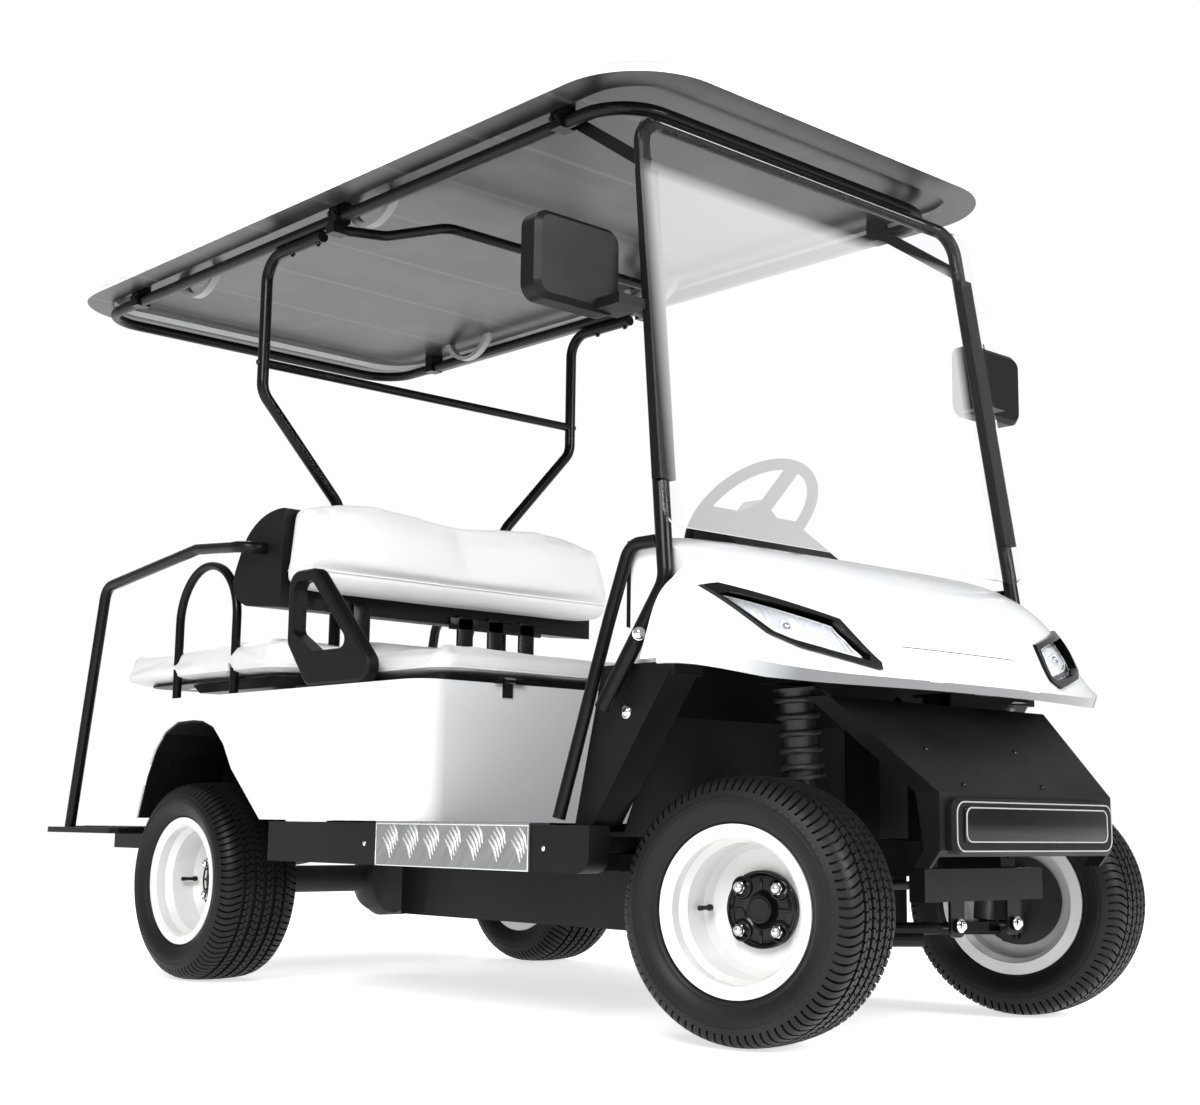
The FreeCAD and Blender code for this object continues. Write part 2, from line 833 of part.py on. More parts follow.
def rear_arm_bracket():
    width = bracket_width
    x = front_rail_x
    return box(x - width / 2, x + width / 2, aft(arm_rear_aft) - width / 2, aft(arm_rear_aft) + width / 2,
               arm_height + arm_radius + seat_gap, rail_bottom)


def coil(radius, wire, turns, base, height):
    """A coil spring as a stack of rings, evenly spaced over its height."""
    pitch = height / turns
    return [Part.makeTorus(radius, wire, V(0, 0, base + pitch * (i + 1 / 2)), Z_AXIS) for i in range(turns)]


def strut_lean():
    """How far the strut leans outwards from upright, as an angle."""
    return math.atan2(strut_head_x - strut_foot_x, strut_head_height - arm_height - arm_radius)


def front_strut():
    """The damper with its coil between two cups, leaning from the lower arm to the tower."""
    foot = V(strut_foot_x, front_axle_y,
             arm_height + arm_radius + arm_plate + damper_radius * math.sin(strut_lean()))
    head = V(strut_head_x, front_axle_y, strut_head_height)
    length = (head - foot).Length
    base = length * (coil_base_height - foot.z) / (head.z - foot.z)
    damper = Part.makeCylinder(damper_radius, base, V(0, 0, 0))
    rod_part = Part.makeCylinder(damper_radius / 2, length, V(0, 0, 0))
    cup = Part.makeCylinder(coil_radius + coil_wire, coil_wire, V(0, 0, base))
    top_cup = Part.makeCylinder(coil_radius + coil_wire, coil_wire, V(0, 0, length - coil_wire))
    rings = coil(coil_radius, coil_wire, coil_turns, base + coil_wire, length - base - coil_wire * 2)
    guide = Part.makeCylinder(coil_radius - coil_wire / 2, length - base, V(0, 0, base))
    body = damper.multiFuse([rod_part, cup, top_cup, guide] + rings)
    body.rotate(V(0, 0, 0), Y_AXIS, math.degrees(strut_lean()))
    body.translate(foot)
    return body


def strut_tower():
    """A bent plate from the chassis up to the strut's head."""
    z = strut_head_height + (coil_radius + coil_wire) * math.sin(strut_lean()) + seat_gap
    inner = front_rail_x - rail_width / 2
    half = tower_width / 2
    shelf = box(inner, strut_head_x + half, front_axle_y - half, front_axle_y + half, z, z + tower_gauge)
    web = box(inner, inner + rail_width, front_axle_y - half / 2, front_axle_y + half / 2, rail_top, z)
    gusset = prism([V(inner, front_axle_y - half, z), V(strut_head_x, front_axle_y - half, z),
                    V(inner, front_axle_y - half, z - tower_width)], V(0, tower_gauge, 0))
    return shelf.multiFuse([web, gusset])


def rear_axle():
    """Axle tube, differential case, brake drums, stub shafts and the motor on its nose."""
    outer = rear_track / 2 + rim_width / 2 - dish_depth - rim_gauge
    drum_end = outer - drum_gap
    drum_start = drum_end - drum_depth
    case = diff_width / 2
    half = [(0, diff_radius), (case / 2, diff_radius), (case, diff_radius * diff_end_share),
            (case * diff_neck_share, axle_tube_radius),
            (drum_start, axle_tube_radius), (drum_start, drum_radius), (drum_end, drum_radius),
            (drum_end, spindle_radius), (outer + rim_gauge - seat_gap, spindle_radius)]
    profile = [(-x, r) for x, r in half[:0:-1]] + half
    profile = [(profile[0][0], 0)] + profile + [(profile[-1][0], 0)]
    axle = revolved_about_x(profile)
    axle.translate(V(0, rear_axle_y, axle_height))
    motor_centre = V(-motor_length / 2, rear_axle_y - motor_offset, axle_height + motor_radius / 8)
    motor = Part.makeCylinder(motor_radius, motor_length, motor_centre, X_AXIS)
    neck = box(-case * diff_end_share, case * diff_end_share, rear_axle_y - motor_offset, rear_axle_y,
               axle_height - diff_radius / 2, axle_height + diff_radius / 2)
    return axle.multiFuse([motor, neck])


def rear_spring():
    """A short stack of bowed leaves with rolled eyes at both ends."""
    pad = axle_height + axle_tube_radius + seat_gap
    leaves = []
    for i in range(spring_leaves):
        half = spring_half_length * (1 - i / (spring_leaves + 1))
        bow = spring_bow * (half / spring_half_length) ** 2
        z = pad + (spring_leaves - 1 - i) * spring_leaf_gauge
        lift = V(0, 0, spring_leaf_gauge)
        a = V(spring_x, rear_axle_y - half, z + bow)
        m = V(spring_x, rear_axle_y, z)
        b = V(spring_x, rear_axle_y + half, z + bow)
        face = Part.Face(Part.Wire([
            Part.Arc(a, m, b).toShape(), Part.LineSegment(b, b + lift).toShape(),
            Part.Arc(b + lift, m + lift, a + lift).toShape(), Part.LineSegment(a + lift, a).toShape()]))
        leaves.append(face.extrude(V(spring_leaf_width, 0, 0)))
    top = pad + (spring_leaves - 1) * spring_leaf_gauge + spring_bow + spring_leaf_gauge
    for end in (-1, 1):
        place = V(spring_x, rear_axle_y + end * spring_half_length, top)
        leaves.append(Part.makeCylinder(spring_eye_radius, spring_leaf_width, place, X_AXIS))
        ahead = wheelbase - spring_half_length - shackle_gauge - main_rail_end_aft
        climb = rear_rail_rise if end > 0 else ahead
        leaves.append(box(spring_x, spring_x + spring_leaf_width, place.y - shackle_gauge / 2,
                          place.y + shackle_gauge / 2, top, rail_bottom + climb - seat_gap))
    stack = leaves[0].multiFuse(leaves[1:])
    stack.translate(V(-spring_leaf_width / 2, 0, 0))
    return stack


def battery_cradle():
    """An open tray hung under the rails, with a turned-out lip along its top."""
    outer = box(-cradle_x, cradle_x, aft(cradle_front_aft), aft(cradle_rear_aft), cradle_bottom,
                rail_bottom - seat_gap)
    inner = box(-cradle_x + cradle_gauge, cradle_x - cradle_gauge, aft(cradle_front_aft) + cradle_gauge,
                aft(cradle_rear_aft) - cradle_gauge, cradle_bottom + cradle_gauge, rail_bottom + overrun)
    lip = box(-cradle_x - cradle_lip, cradle_x + cradle_lip, aft(cradle_front_aft), aft(cradle_rear_aft),
              rail_bottom - seat_gap - cradle_gauge, rail_bottom - seat_gap)
    return outer.fuse(lip).cut(inner)


def battery_pack():
    """The row of batteries standing in the cradle under the front seat, as one block."""
    half = cradle_x - cradle_gauge - battery_clearance
    base = cradle_bottom + cradle_gauge + seat_gap
    return box(-half, half, aft(battery_front_aft), aft(cradle_rear_aft) - cradle_gauge - seat_gap,
               base, base + battery_height)


def floor_pan():
    """The footwell floor, the sloping toe board and the bulkhead behind the cowl, one bent sheet."""
    t = sheet
    outline = [(aft(floor_rear_aft), floor_top), (aft(floor_front_aft), floor_top),
               (aft(toe_top_aft), toe_top_height), (aft(toe_top_aft), bulkhead_top),
               (aft(toe_top_aft) - t, bulkhead_top), (aft(toe_top_aft) - t, toe_top_height - t / 2),
               (aft(floor_front_aft) - t / 2, floor_top - t), (aft(floor_rear_aft), floor_top - t)]
    wide = side_prism(outline, -floor_half_width, floor_half_width)
    upper = box(side_panel_inner_x - seat_gap, floor_half_width + overrun, aft(0), aft(floor_front_aft),
                floor_top + t, bulkhead_top + overrun)
    centre = V(wheel_x, aft(wheel_aft), wheel_height)
    column = rod(centre - column_axis() * wheel_height, centre, column_radius + seat_gap)
    return wide.cut(upper).cut(mirrored(upper)).cut(column)


def rocker():
    """The side sill: a closed box with a rounded lower front corner."""
    outline_box = box(rocker_inner_x, rocker_x, aft(rocker_front_aft), aft(rocker_rear_aft), rocker_bottom,
                      rocker_top)
    low = [e for e in outline_box.Edges
           if abs(e.BoundBox.ZMax - rocker_bottom) < seat_gap
           and abs(e.BoundBox.YMax - aft(rocker_front_aft)) < seat_gap]
    body = outline_box.makeFillet(rocker_corner, low)
    hollow = box(rocker_inner_x - overrun, rocker_x - sheet, aft(rocker_front_aft) + rocker_corner,
                 aft(rocker_rear_aft) - sheet, rocker_bottom + sheet, rocker_top - sheet)
    return body.cut(hollow)


def tread_plate():
    """The bright step plate folded over the sill, with groups of short curved bars."""
    x = rocker_x + seat_gap
    front = aft(tread_front_aft)
    rear = aft(tread_rear_aft)
    face = box(x, x + tread_gauge, front, rear, rocker_bottom, rocker_top + seat_gap + tread_gauge)
    top = box(x - tread_lip, x + tread_gauge, front, rear, rocker_top + seat_gap,
              rocker_top + seat_gap + tread_gauge)
    return face.fuse(top)


# Body panels
def cowl_loft(inset):
    """The cowl's outer form, drawn in by the inset; an inset form runs on past the rear and below."""
    open_run = overrun if inset > 0 else 0
    half = cowl_half_width - inset
    sections = []
    for angle in [-a for a in cowl_section_angles[:0:-1]] + list(cowl_section_angles):
        turn = math.radians(abs(angle))
        share = math.sin(turn) ** (2 / cowl_plan_power)
        depth = math.cos(turn) ** (2 / cowl_plan_power) if abs(angle) < 90 else 0
        x = math.copysign(half * share, angle)
        nose = aft(cowl_side_aft + inset - (cowl_side_aft + cowl_nose_reach) * depth)
        rear = aft(cowl_rear_aft) + open_run
        top = cowl_top - inset - cowl_side_drop * share ** cowl_top_power
        lip = cowl_lip_height + cowl_lip_rise * share ** cowl_lip_power
        knee = lip + cowl_lip_band
        curve = [V(x, nose, knee)]
        curve += [V(x, nose + (rear - nose) * u, knee + (top - knee) * w) for u, w in cowl_profile_shares]
        curve.append(V(x, rear, top))
        spline = Part.BSplineCurve()
        spline.interpolate(curve)
        low_front = V(x, nose + cowl_lip_tuck, lip - open_run)
        low_rear = V(x, rear, lip - open_run)
        sections.append(Part.Wire([
            spline.toShape(), Part.LineSegment(curve[-1], low_rear).toShape(),
            Part.LineSegment(low_rear, low_front).toShape(),
            Part.LineSegment(low_front, curve[0]).toShape()]))
    return Part.makeLoft(sections, True, False)


def cowl_form(inset):
    """The lofted form with the posts' recesses taken out of both rear corners."""
    shift = -inset
    outline = [(aft(recess_top_aft) + shift, cowl_top + overrun),
               (aft(recess_kink_aft) + shift, recess_kink_height),
               (aft(recess_foot_aft) + shift, cowl_skirt_height - overrun * 2),
               (aft(cowl_rear_aft) + overrun * 2, cowl_skirt_height - overrun * 2),
               (aft(cowl_rear_aft) + overrun * 2, cowl_top + overrun)]
    recess = side_prism(outline, recess_x - inset, cowl_half_width + overrun)
    return cowl_loft(inset).cut(recess).cut(mirrored(recess))


def lamp_prism(grow, side):
    """The headlight's outline grown or shrunk about its middle, as a bar along Y."""
    outline = [(lamp_low_x + lamp_reach * u, lamp_low_height + lamp_rise * w)
               for u, w in lamp_outline_shares]
    middle_x = sum(p[0] for p in outline) / len(outline)
    middle_z = sum(p[1] for p in outline) / len(outline)
    reach = max(abs(p[0] - middle_x) for p in outline)
    height = max(abs(p[1] - middle_z) for p in outline)
    points = [V(side * (middle_x + (x - middle_x) * (1 + grow / reach)), aft(-cowl_nose_reach - overrun),
                middle_z + (z - middle_z) * (1 + grow / height)) for x, z in outline]
    return prism(points, V(0, cowl_nose_reach + overrun + lamp_back_aft, 0))


def front_cowl():
    shell = cowl_form(0).cut(cowl_form(cowl_wall))
    skirt = box(-cowl_half_width - overrun, cowl_half_width + overrun, aft(cowl_side_aft),
                aft(cowl_rear_aft) + overrun, cowl_lip_height - overrun, cowl_skirt_height)
    shell = shell.cut(skirt)
    for side in (-1, 1):
        shell = shell.cut(lamp_prism(lamp_gap, side))
    return shell


def headlight_housings():
    """The lamp housings: a proud rim round each opening and a bowl behind it."""
    band = cowl_form(-lamp_proud).cut(cowl_form(lamp_bezel_depth))
    bowl = cowl_form(lamp_bezel_depth - lens_gauge / 2).cut(cowl_form(lamp_bezel_depth + lens_gauge))
    pieces = []
    for side in (-1, 1):
        outer = lamp_prism(0, side)
        ring = outer.cut(lamp_prism(-lamp_rim, side))
        pieces.append(ring.common(band).fuse(outer.common(bowl)))
    return Part.makeCompound([s for p in pieces for s in p.Solids])


def headlight_lenses():
    band = cowl_form(lens_inset).cut(cowl_form(lens_inset + lens_gauge))
    pieces = []
    for side in (-1, 1):
        inner = lamp_prism(-lamp_rim - lamp_gap, side)
        pieces.append(max(inner.common(band).Solids, key=lambda lens: lens.Volume))
    return Part.makeCompound(pieces)


def front_apron():
    """The black lower nose panel: a sloping face with turned-back flanks and a raised bumper pad."""
    face_top = apron_low_height + pad_top - pad_bottom
    slope = (apron_top_aft - apron_low_aft) / (apron_top_height - face_top)
    taper = (apron_half_top - apron_half_bottom) / (apron_top_height - face_top)

    def form(inset):
        run_on = overrun if inset else 0
        rows = ((apron_half_top - inset + run_on * taper, apron_top_aft + run_on * slope,
                 apron_top_height + run_on, apron_return),
                (apron_half_bottom - inset, apron_low_aft, face_top, apron_return),
                (apron_half_bottom - inset, apron_low_aft, apron_low_height, apron_low_return),
                (apron_half_bottom - inset, apron_toe_aft - run_on / 2, apron_toe_height - run_on,
                 apron_low_return))
        sections = []
        for half, y, z, back in rows:
            front = aft(y) + inset
            rear = aft(y) + back + run_on
            ring = [V(-half, front, z), V(half, front, z), V(half, rear, z), V(-half, rear, z)]
            sections.append(Part.makePolygon(ring + [ring[0]]))
        return Part.makeLoft(sections, True, True)

    low_y = aft(apron_low_aft)
    shell = form(0).cut(form(apron_wall))
    pad = rounded_box(-pad_half_width, pad_half_width, low_y - pad_proud, low_y + apron_wall / 2,
                      pad_bottom, pad_top, pad_corner, Y_AXIS)
    rim = [e for e in pad.Edges if abs(e.BoundBox.YMax - (low_y - pad_proud)) < seat_gap]
    pad = pad.makeChamfer(pad_slope, rim)
    return shell.fuse(pad)


def door_trim():
    start_x = recess_x + trim_gauge + seat_gap
    start_y = post_y(trim_top_height + trim_gauge) + post_radius + seat_gap * 2
    points = [V(start_x, start_y, trim_top_height), V(start_x, aft(trim_top_aft), trim_top_height),
              V(trim_mid_x, aft(trim_mid_aft), trim_mid_height),
              V(trim_foot_x - trim_gauge, aft(trim_foot_aft), rocker_top + trim_gauge)]
    return tube(points, trim_gauge, trim_bend)


def trim_y(z):
    """Where the lower run of the door trim stands at a given height."""
    share = (trim_mid_height - z) / (trim_mid_height - rocker_top - trim_gauge)
    return aft(trim_mid_aft + (trim_foot_aft - trim_mid_aft) * share)


def side_panel():
    """The black panel between door trim and front wheel, with its return to the bulkhead."""
    low = rocker_top + seat_gap
    high = cowl_skirt_height - seat_gap
    behind = trim_gauge * trim_lean_share
    outline = [(aft(panel_top_front_aft), high), (aft(panel_low_front_aft), low),
               (trim_y(low) - behind, low), (trim_y(high) - behind, high)]
    face = side_prism(outline, side_panel_x - side_panel_wall, side_panel_x)
    ledge = box(side_panel_inner_x, side_panel_x, aft(panel_top_front_aft),
                aft(panel_top_front_aft) + side_panel_wall * 2,
                cowl_skirt_height - side_panel_wall * 4, cowl_skirt_height - seat_gap)
    slope = prism([V(side_panel_inner_x, aft(panel_top_front_aft), cowl_skirt_height - seat_gap),
                   V(side_panel_inner_x, aft(panel_top_front_aft) + side_panel_wall,
                     cowl_skirt_height - seat_gap),
                   V(side_panel_inner_x, aft(panel_low_front_aft) + side_panel_wall, low),
                   V(side_panel_inner_x, aft(panel_low_front_aft), low)],
                   V(side_panel_x - side_panel_inner_x, 0, 0))
    return face.multiFuse([ledge, slope])


def arch_outline():
    """The rear wheel arch from its front foot over the wheel to its tail, as (y, z) places."""
    shares = ((0, 0),) + arch_shares + ((1, 0),)
    return [(aft(arch_front_aft + (arch_tail_aft - arch_front_aft) * u),
             body_bottom + (arch_top - body_bottom) * w)
            for u, w in shares]


def rear_body():
    """The white rear body shell, open below, with the battery well and wheel arches cut out."""
    full = [(aft(body_front_aft), body_bottom), (aft(body_rear_low_aft), body_bottom),
            (aft(body_rear_top_aft), body_top), (aft(body_front_aft), body_top)]
    block = side_prism(full, -body_half_width, body_half_width)
    uprights = [e for e in block.Edges if abs(e.tangentAt(e.FirstParameter).dot(Z_AXIS)) > parallel_share
                and abs(e.BoundBox.YMin - aft(body_front_aft)) < seat_gap]
    block = block.makeFillet(body_corner, uprights)
    t = body_wall
    inner_full = [(aft(body_front_aft) + t, body_bottom - overrun),
                  (aft(body_rear_low_aft) - t, body_bottom - overrun),
                  (aft(body_rear_low_aft) - t, body_bottom), (aft(body_rear_top_aft) - t, body_top - t),
                  (aft(body_front_aft) + t, body_top - t)]
    inner = side_prism(inner_full, -body_half_width + t, body_half_width - t)
    uprights = [e for e in inner.Edges if abs(e.tangentAt(e.FirstParameter).dot(Z_AXIS)) > parallel_share
                and abs(e.BoundBox.YMin - aft(body_front_aft) - t) < seat_gap]
    inner = inner.makeFillet(body_corner - t, uprights)
    shell = block.cut(inner)
    ends = [(aft(y), body_bottom - overrun) for y in (arch_front_aft, arch_tail_aft)]
    arch_cut = side_prism([ends[0]] + arch_outline() + [ends[1]], liner_inner_x, body_half_width + overrun)
    well = box(-body_opening_x, body_opening_x, aft(body_opening_front_aft), aft(body_opening_rear_aft),
               body_top - overrun, body_top + overrun)
    half = rail_width / 2 + rail_window_gap
    window = box(main_rail_x - half, main_rail_x + half, aft(body_rear_top_aft),
                 aft(body_rear_low_aft) + overrun,
                 rail_bottom + rear_rail_rise - rail_window_gap, rail_top + rear_rail_rise + rail_window_gap)
    return shell.cut(arch_cut).cut(mirrored(arch_cut)).cut(well).cut(window).cut(mirrored(window))


def rear_liner():
    """The black inner arch: a bent strip over the wheel and its inboard wall."""
    low = body_bottom
    edge = [V(0, y, z) for y, z in arch_outline()]
    middle = V(0, sum(p.y for p in edge) / len(edge), low)
    reach = max(p.y for p in edge) - middle.y
    rise = max(p.z for p in edge) - low

    def drawn_in(inset):
        return [V(0, middle.y + (p.y - middle.y) * (1 - inset / reach),
                  low + (p.z - low) * (1 - inset / rise))
                for p in edge]

    outer = drawn_in(seat_gap * 3)
    inner = drawn_in(liner_wall)
    shift = V(liner_inner_x, 0, 0)
    solid = prism([p + shift for p in outer], V(body_half_width - body_wall - liner_inner_x, 0, 0))
    inner = [V(0, inner[0].y, low - overrun)] + inner + [V(0, inner[-1].y, low - overrun)]
    hollow = prism([p + shift + V(liner_wall, 0, 0) for p in inner], V(body_half_width, 0, 0))
    return solid.cut(hollow)


# Seats
def hinge_line(side):
    """The middle of one front hinge of the lifting seat."""
    return V(side * seat_hinge_x, aft(body_front_aft) - seat_hinge_radius - seat_gap,
             body_top + seat_gap + seat_board_gauge / 2)


def seat_board():
    """The lifting base of the front seat with its hinge eyes and pins."""
    z0 = body_top + seat_gap
    board = rounded_box(-seat_half_width, seat_half_width, aft(seat_front_aft), aft(seat_rear_aft),
                        z0, z0 + seat_board_gauge, cushion_corner, Z_AXIS)
    pieces = []
    eye = seat_hinge_length * seat_eye_share
    for side in (-1, 1):
        middle = hinge_line(side)
        pieces.append(Part.makeCylinder(seat_pin_radius, seat_hinge_length,
                                        middle - V(seat_hinge_length / 2, 0, 0), X_AXIS))
        for start in (-seat_hinge_length / 2, seat_hinge_length / 2 - eye):
            place = middle + V(start, 0, 0)
            pieces.append(Part.makeCylinder(seat_hinge_radius, eye, place, X_AXIS))
            pieces.append(box(place.x, place.x + eye, place.y, aft(seat_front_aft) + cushion_corner,
                              place.z, place.z + seat_board_gauge / 2))
    return board.multiFuse(pieces)


def seat_hinges():
    """The two fixed hinge leaves on the body's front face, each with a bored knuckle."""
    pieces = []
    half = seat_hinge_length * seat_knuckle_share
    for side in (-1, 1):
        middle = hinge_line(side)
        barrel = Part.makeCylinder(seat_hinge_radius, half * 2, middle - V(half, 0, 0), X_AXIS)
        leaf = box(middle.x - half, middle.x + half, aft(body_front_aft) - seat_gap - sheet / 2,
                   aft(body_front_aft) - seat_gap, middle.z - seat_hinge_length / 2, middle.z)
        bore = Part.makeCylinder(seat_pin_radius + running_gap, seat_hinge_length,
                                 middle - V(seat_hinge_length / 2, 0, 0),
                                 X_AXIS)
        pieces.append(barrel.fuse(leaf).cut(bore))
    return Part.makeCompound(pieces)


def front_seat_cushion():
    z0 = body_top + seat_gap + seat_board_gauge + cushion_gap
    return soft_box(-seat_half_width, seat_half_width, aft(seat_front_aft), aft(seat_rear_aft), z0,
                    z0 + seat_cushion_height, seat_front_corner, cushion_corner)


def hip_restraint():
    """A moulded closed loop standing on the body's shoulder beside the seat."""
    low = body_top + seat_gap
    x = hip_x - hip_thickness / 2
    across = V(hip_thickness, 0, 0)
    outer = [V(x, aft(hip_front_aft), low), V(x, aft(hip_foot_aft), low),
             V(x, aft(hip_rear_aft), hip_knee_height),
             V(x, aft(hip_rear_aft), hip_top), V(x, aft(hip_crown_aft), hip_top)]
    slope = (hip_crown_aft - hip_front_aft) / (hip_top - low)
    sill = low + hip_sill
    front = hip_front_aft + slope * hip_sill + hip_bar * math.hypot(slope, 1)
    head = hip_front_aft + slope * (hip_top - hip_bar - low) + hip_bar * math.hypot(slope, 1)
    rear = hip_rear_aft - hip_bar
    inner = [V(x, aft(front), sill), V(x, aft(hip_foot_aft - hip_bar), sill),
             V(x, aft(rear), hip_knee_height + hip_bar), V(x, aft(rear), hip_top - hip_bar),
             V(x, aft(head), hip_top - hip_bar)]
    loop = Part.Face(rounded_loop(outer, hip_corner)).extrude(across)
    rims = [e for e in loop.Edges if abs(e.BoundBox.XMax - e.BoundBox.XMin) < seat_gap]
    loop = loop.makeFillet(hip_edge, rims)
    flat = box(x - overrun, x + hip_thickness + overrun, aft(0), aft(wheelbase), low - overrun, low)
    hole = Part.Face(rounded_loop(inner, hip_corner / 2)).extrude(across + V(overrun * 2, 0, 0))
    hole.translate(V(-overrun, 0, 0))
    return loop.cut(hole).cut(flat)


def back_outline(half, bottom, top, rise, dip):
    """The two-lobed outline of a seat back, as a closed wire in the XZ plane."""
    lobe = half / 2
    points = [V(-half, 0, top), V(-lobe, 0, top + rise), V(0, 0, top + rise - dip), V(lobe, 0, top + rise),
              V(half, 0, top)]
    spline = Part.BSplineCurve()
    spline.interpolate(points)
    low_left = V(-half, 0, bottom)
    low_right = V(half, 0, bottom)
    return Part.Wire([spline.toShape(), Part.LineSegment(points[-1], low_right).toShape(),
                      Part.LineSegment(low_right, low_left).toShape(),
                      Part.LineSegment(low_left, points[0]).toShape()])


def drawn_back(half, bottom, top, rise, dip, front, rear, edge):
    wire = back_outline(half, bottom, top, rise, dip)
    wire.translate(V(0, front, 0))
    solid = Part.Face(wire).extrude(V(0, rear - front, 0))
    corner = [e for e in solid.Edges if abs(e.tangentAt(e.FirstParameter).dot(Y_AXIS)) > parallel_share]
    solid = solid.makeFillet(edge, corner)
    return solid


def front_back_cushion():
    """The front backrest: a two-lobed pad with a thick roll along its foot."""
    top = back_top_edge + back_lobe_rise * back_crown_share
    front = [V(0, aft(back_rear_aft) - back_roll_depth * depth, back_bottom + (top - back_bottom) * height)
             for height, depth in back_height_shares]
    spline = Part.BSplineCurve()
    spline.interpolate(front)
    rear_low = V(0, aft(back_rear_aft), back_bottom)
    rear_high = V(0, aft(back_rear_aft), top)
    side = Part.Wire([spline.toShape(), Part.LineSegment(front[-1], rear_high).toShape(),
                      Part.LineSegment(rear_high, rear_low).toShape(),
                      Part.LineSegment(rear_low, front[0]).toShape()])
    side.translate(V(-back_half_width - overrun, 0, 0))
    across = Part.Face(side).extrude(V((back_half_width + overrun) * 2, 0, 0))
    outline = drawn_back(back_half_width, back_bottom, back_top_edge, back_lobe_rise, back_dip,
                         aft(back_rear_aft) - back_roll_depth * 2, aft(back_rear_aft), back_corner)
    return outline.common(across)


def shell_profile(shift):
    """The rear curve of the seat back's shell, from its foot to its top, moved aft by the shift."""
    depth = shell_rear_aft - back_rear_aft
    places = [V(0, aft(back_rear_aft + depth * u + shift), shell_bottom + shell_lip_rise +
                (shell_top - shell_bottom - shell_lip_rise) * w) for u, w in shell_side_shares]
    low = V(0, aft(back_rear_aft + depth * shell_belly_share + shift), shell_bottom + shell_belly_rise)
    spline = Part.BSplineCurve()
    spline.interpolate([low] + places)
    return spline.toShape(), low, places[-1]


def seat_back_shell():
    """The black moulded shell between the two backrests: flat in front, bellied behind."""
    curve, low, high = shell_profile(0)
    front_low = V(0, aft(shell_front_aft), shell_bottom)
    front_high = V(0, aft(shell_front_aft), high.z)
    side = Part.Wire([Part.LineSegment(front_low, low).toShape(), curve,
                      Part.LineSegment(high, front_high).toShape(),
                      Part.LineSegment(front_high, front_low).toShape()])
    side.translate(V(-shell_half_width, 0, 0))
    body = Part.Face(side).extrude(V(shell_half_width * 2, 0, 0))
    bore = strut_tube_radius + seat_gap
    for side in (-1, 1):
        foot = V(side * strut_low_x, aft(strut_aft), shell_bottom - overrun)
        body = body.cut(rod(foot, V(foot.x, foot.y, strut_low_height), bore))
    return body


def rear_back_cushion():
    """The backrest for the rear riders, curved to lie on the shell."""
    curve, low, high = shell_profile(cushion_gap)
    back, back_low, back_high = shell_profile(rear_back_gauge)
    side = Part.Wire([curve, Part.LineSegment(high, back_high).toShape(), back,
                      Part.LineSegment(back_low, low).toShape()])
    side.translate(V(-rear_back_half_width, 0, 0))
    body = Part.Face(side).extrude(V(rear_back_half_width * 2, 0, 0))
    half = rear_back_half_width
    outline = drawn_back(half, rear_back_bottom, rear_back_top, back_lobe_rise / 2, back_dip / 2,
                         aft(strut_aft) + strut_tube_radius + leg_clearance,
                         aft(shell_rear_aft + rear_back_gauge) + overrun, cushion_corner)
    return body.common(outline)


def rear_seat_cushion():
    body = soft_box(-rear_seat_half_width, rear_seat_half_width, aft(rear_seat_front_aft),
                    aft(rear_seat_rear_aft),
                    rear_seat_bottom, rear_seat_bottom + rear_seat_height, rear_seat_corner, cushion_corner)
    return cut_leg_holes(body)


def cut_leg_holes(body):
    """Holes for the handrail legs and the strut feet that pass through the back seat."""
    for side in (-1, 1):
        for x, y, radius in ((hoop_x, hoop_front_aft, hoop_radius), (hoop_x, hoop_rear_aft, hoop_radius),
                             (strut_low_x, strut_aft, strut_tube_radius)):
            body = body.cut(Part.makeCylinder(radius + leg_clearance, rear_seat_height + overrun * 2,
                                              V(side * x, aft(y), rear_seat_bottom - overrun)))
    return body


def rear_seat_pan():
    """The black moulded pan under the back seat: a flat rim with a deeper tray in its middle."""
    top = rear_seat_bottom - cushion_gap
    plate = rounded_box(-rear_pan_half_width, rear_pan_half_width, aft(rear_pan_front_aft),
                        aft(rear_pan_rear_aft),
                        top - rear_pan_rim, top, rear_seat_corner, Z_AXIS)
    y0 = aft(rear_tray_front_aft)
    y1 = aft(rear_tray_rear_aft)
    slope = rear_pan_depth * rear_pan_slope_share
    tray = side_prism([(y0 - slope, top - rear_pan_rim / 2), (y0, top - rear_pan_depth),
                       (y1, top - rear_pan_depth), (y1 + slope, top - rear_pan_rim / 2)],
                      -rear_pan_half_width + rear_seat_corner / 2,
                      rear_pan_half_width - rear_seat_corner / 2)
    bar = deck_bar(rear_post_aft)
    bar.translate(V(0, 0, seat_gap))
    lower = box(-rear_pan_half_width, rear_pan_half_width, bar.BoundBox.YMin, bar.BoundBox.YMax, 0,
                body_top + seat_gap)
    return cut_leg_holes(plate.multiFuse([tray, bar])).cut(lower)


def deck_bar(distance):
    """A box bar lying across the rear deck."""
    half = strut_low_x + rail_width
    return box(-half, half, aft(distance) - rail_width / 2, aft(distance) + rail_width / 2,
               body_top + seat_gap,
               rear_seat_bottom - cushion_gap - rear_pan_depth - seat_gap)


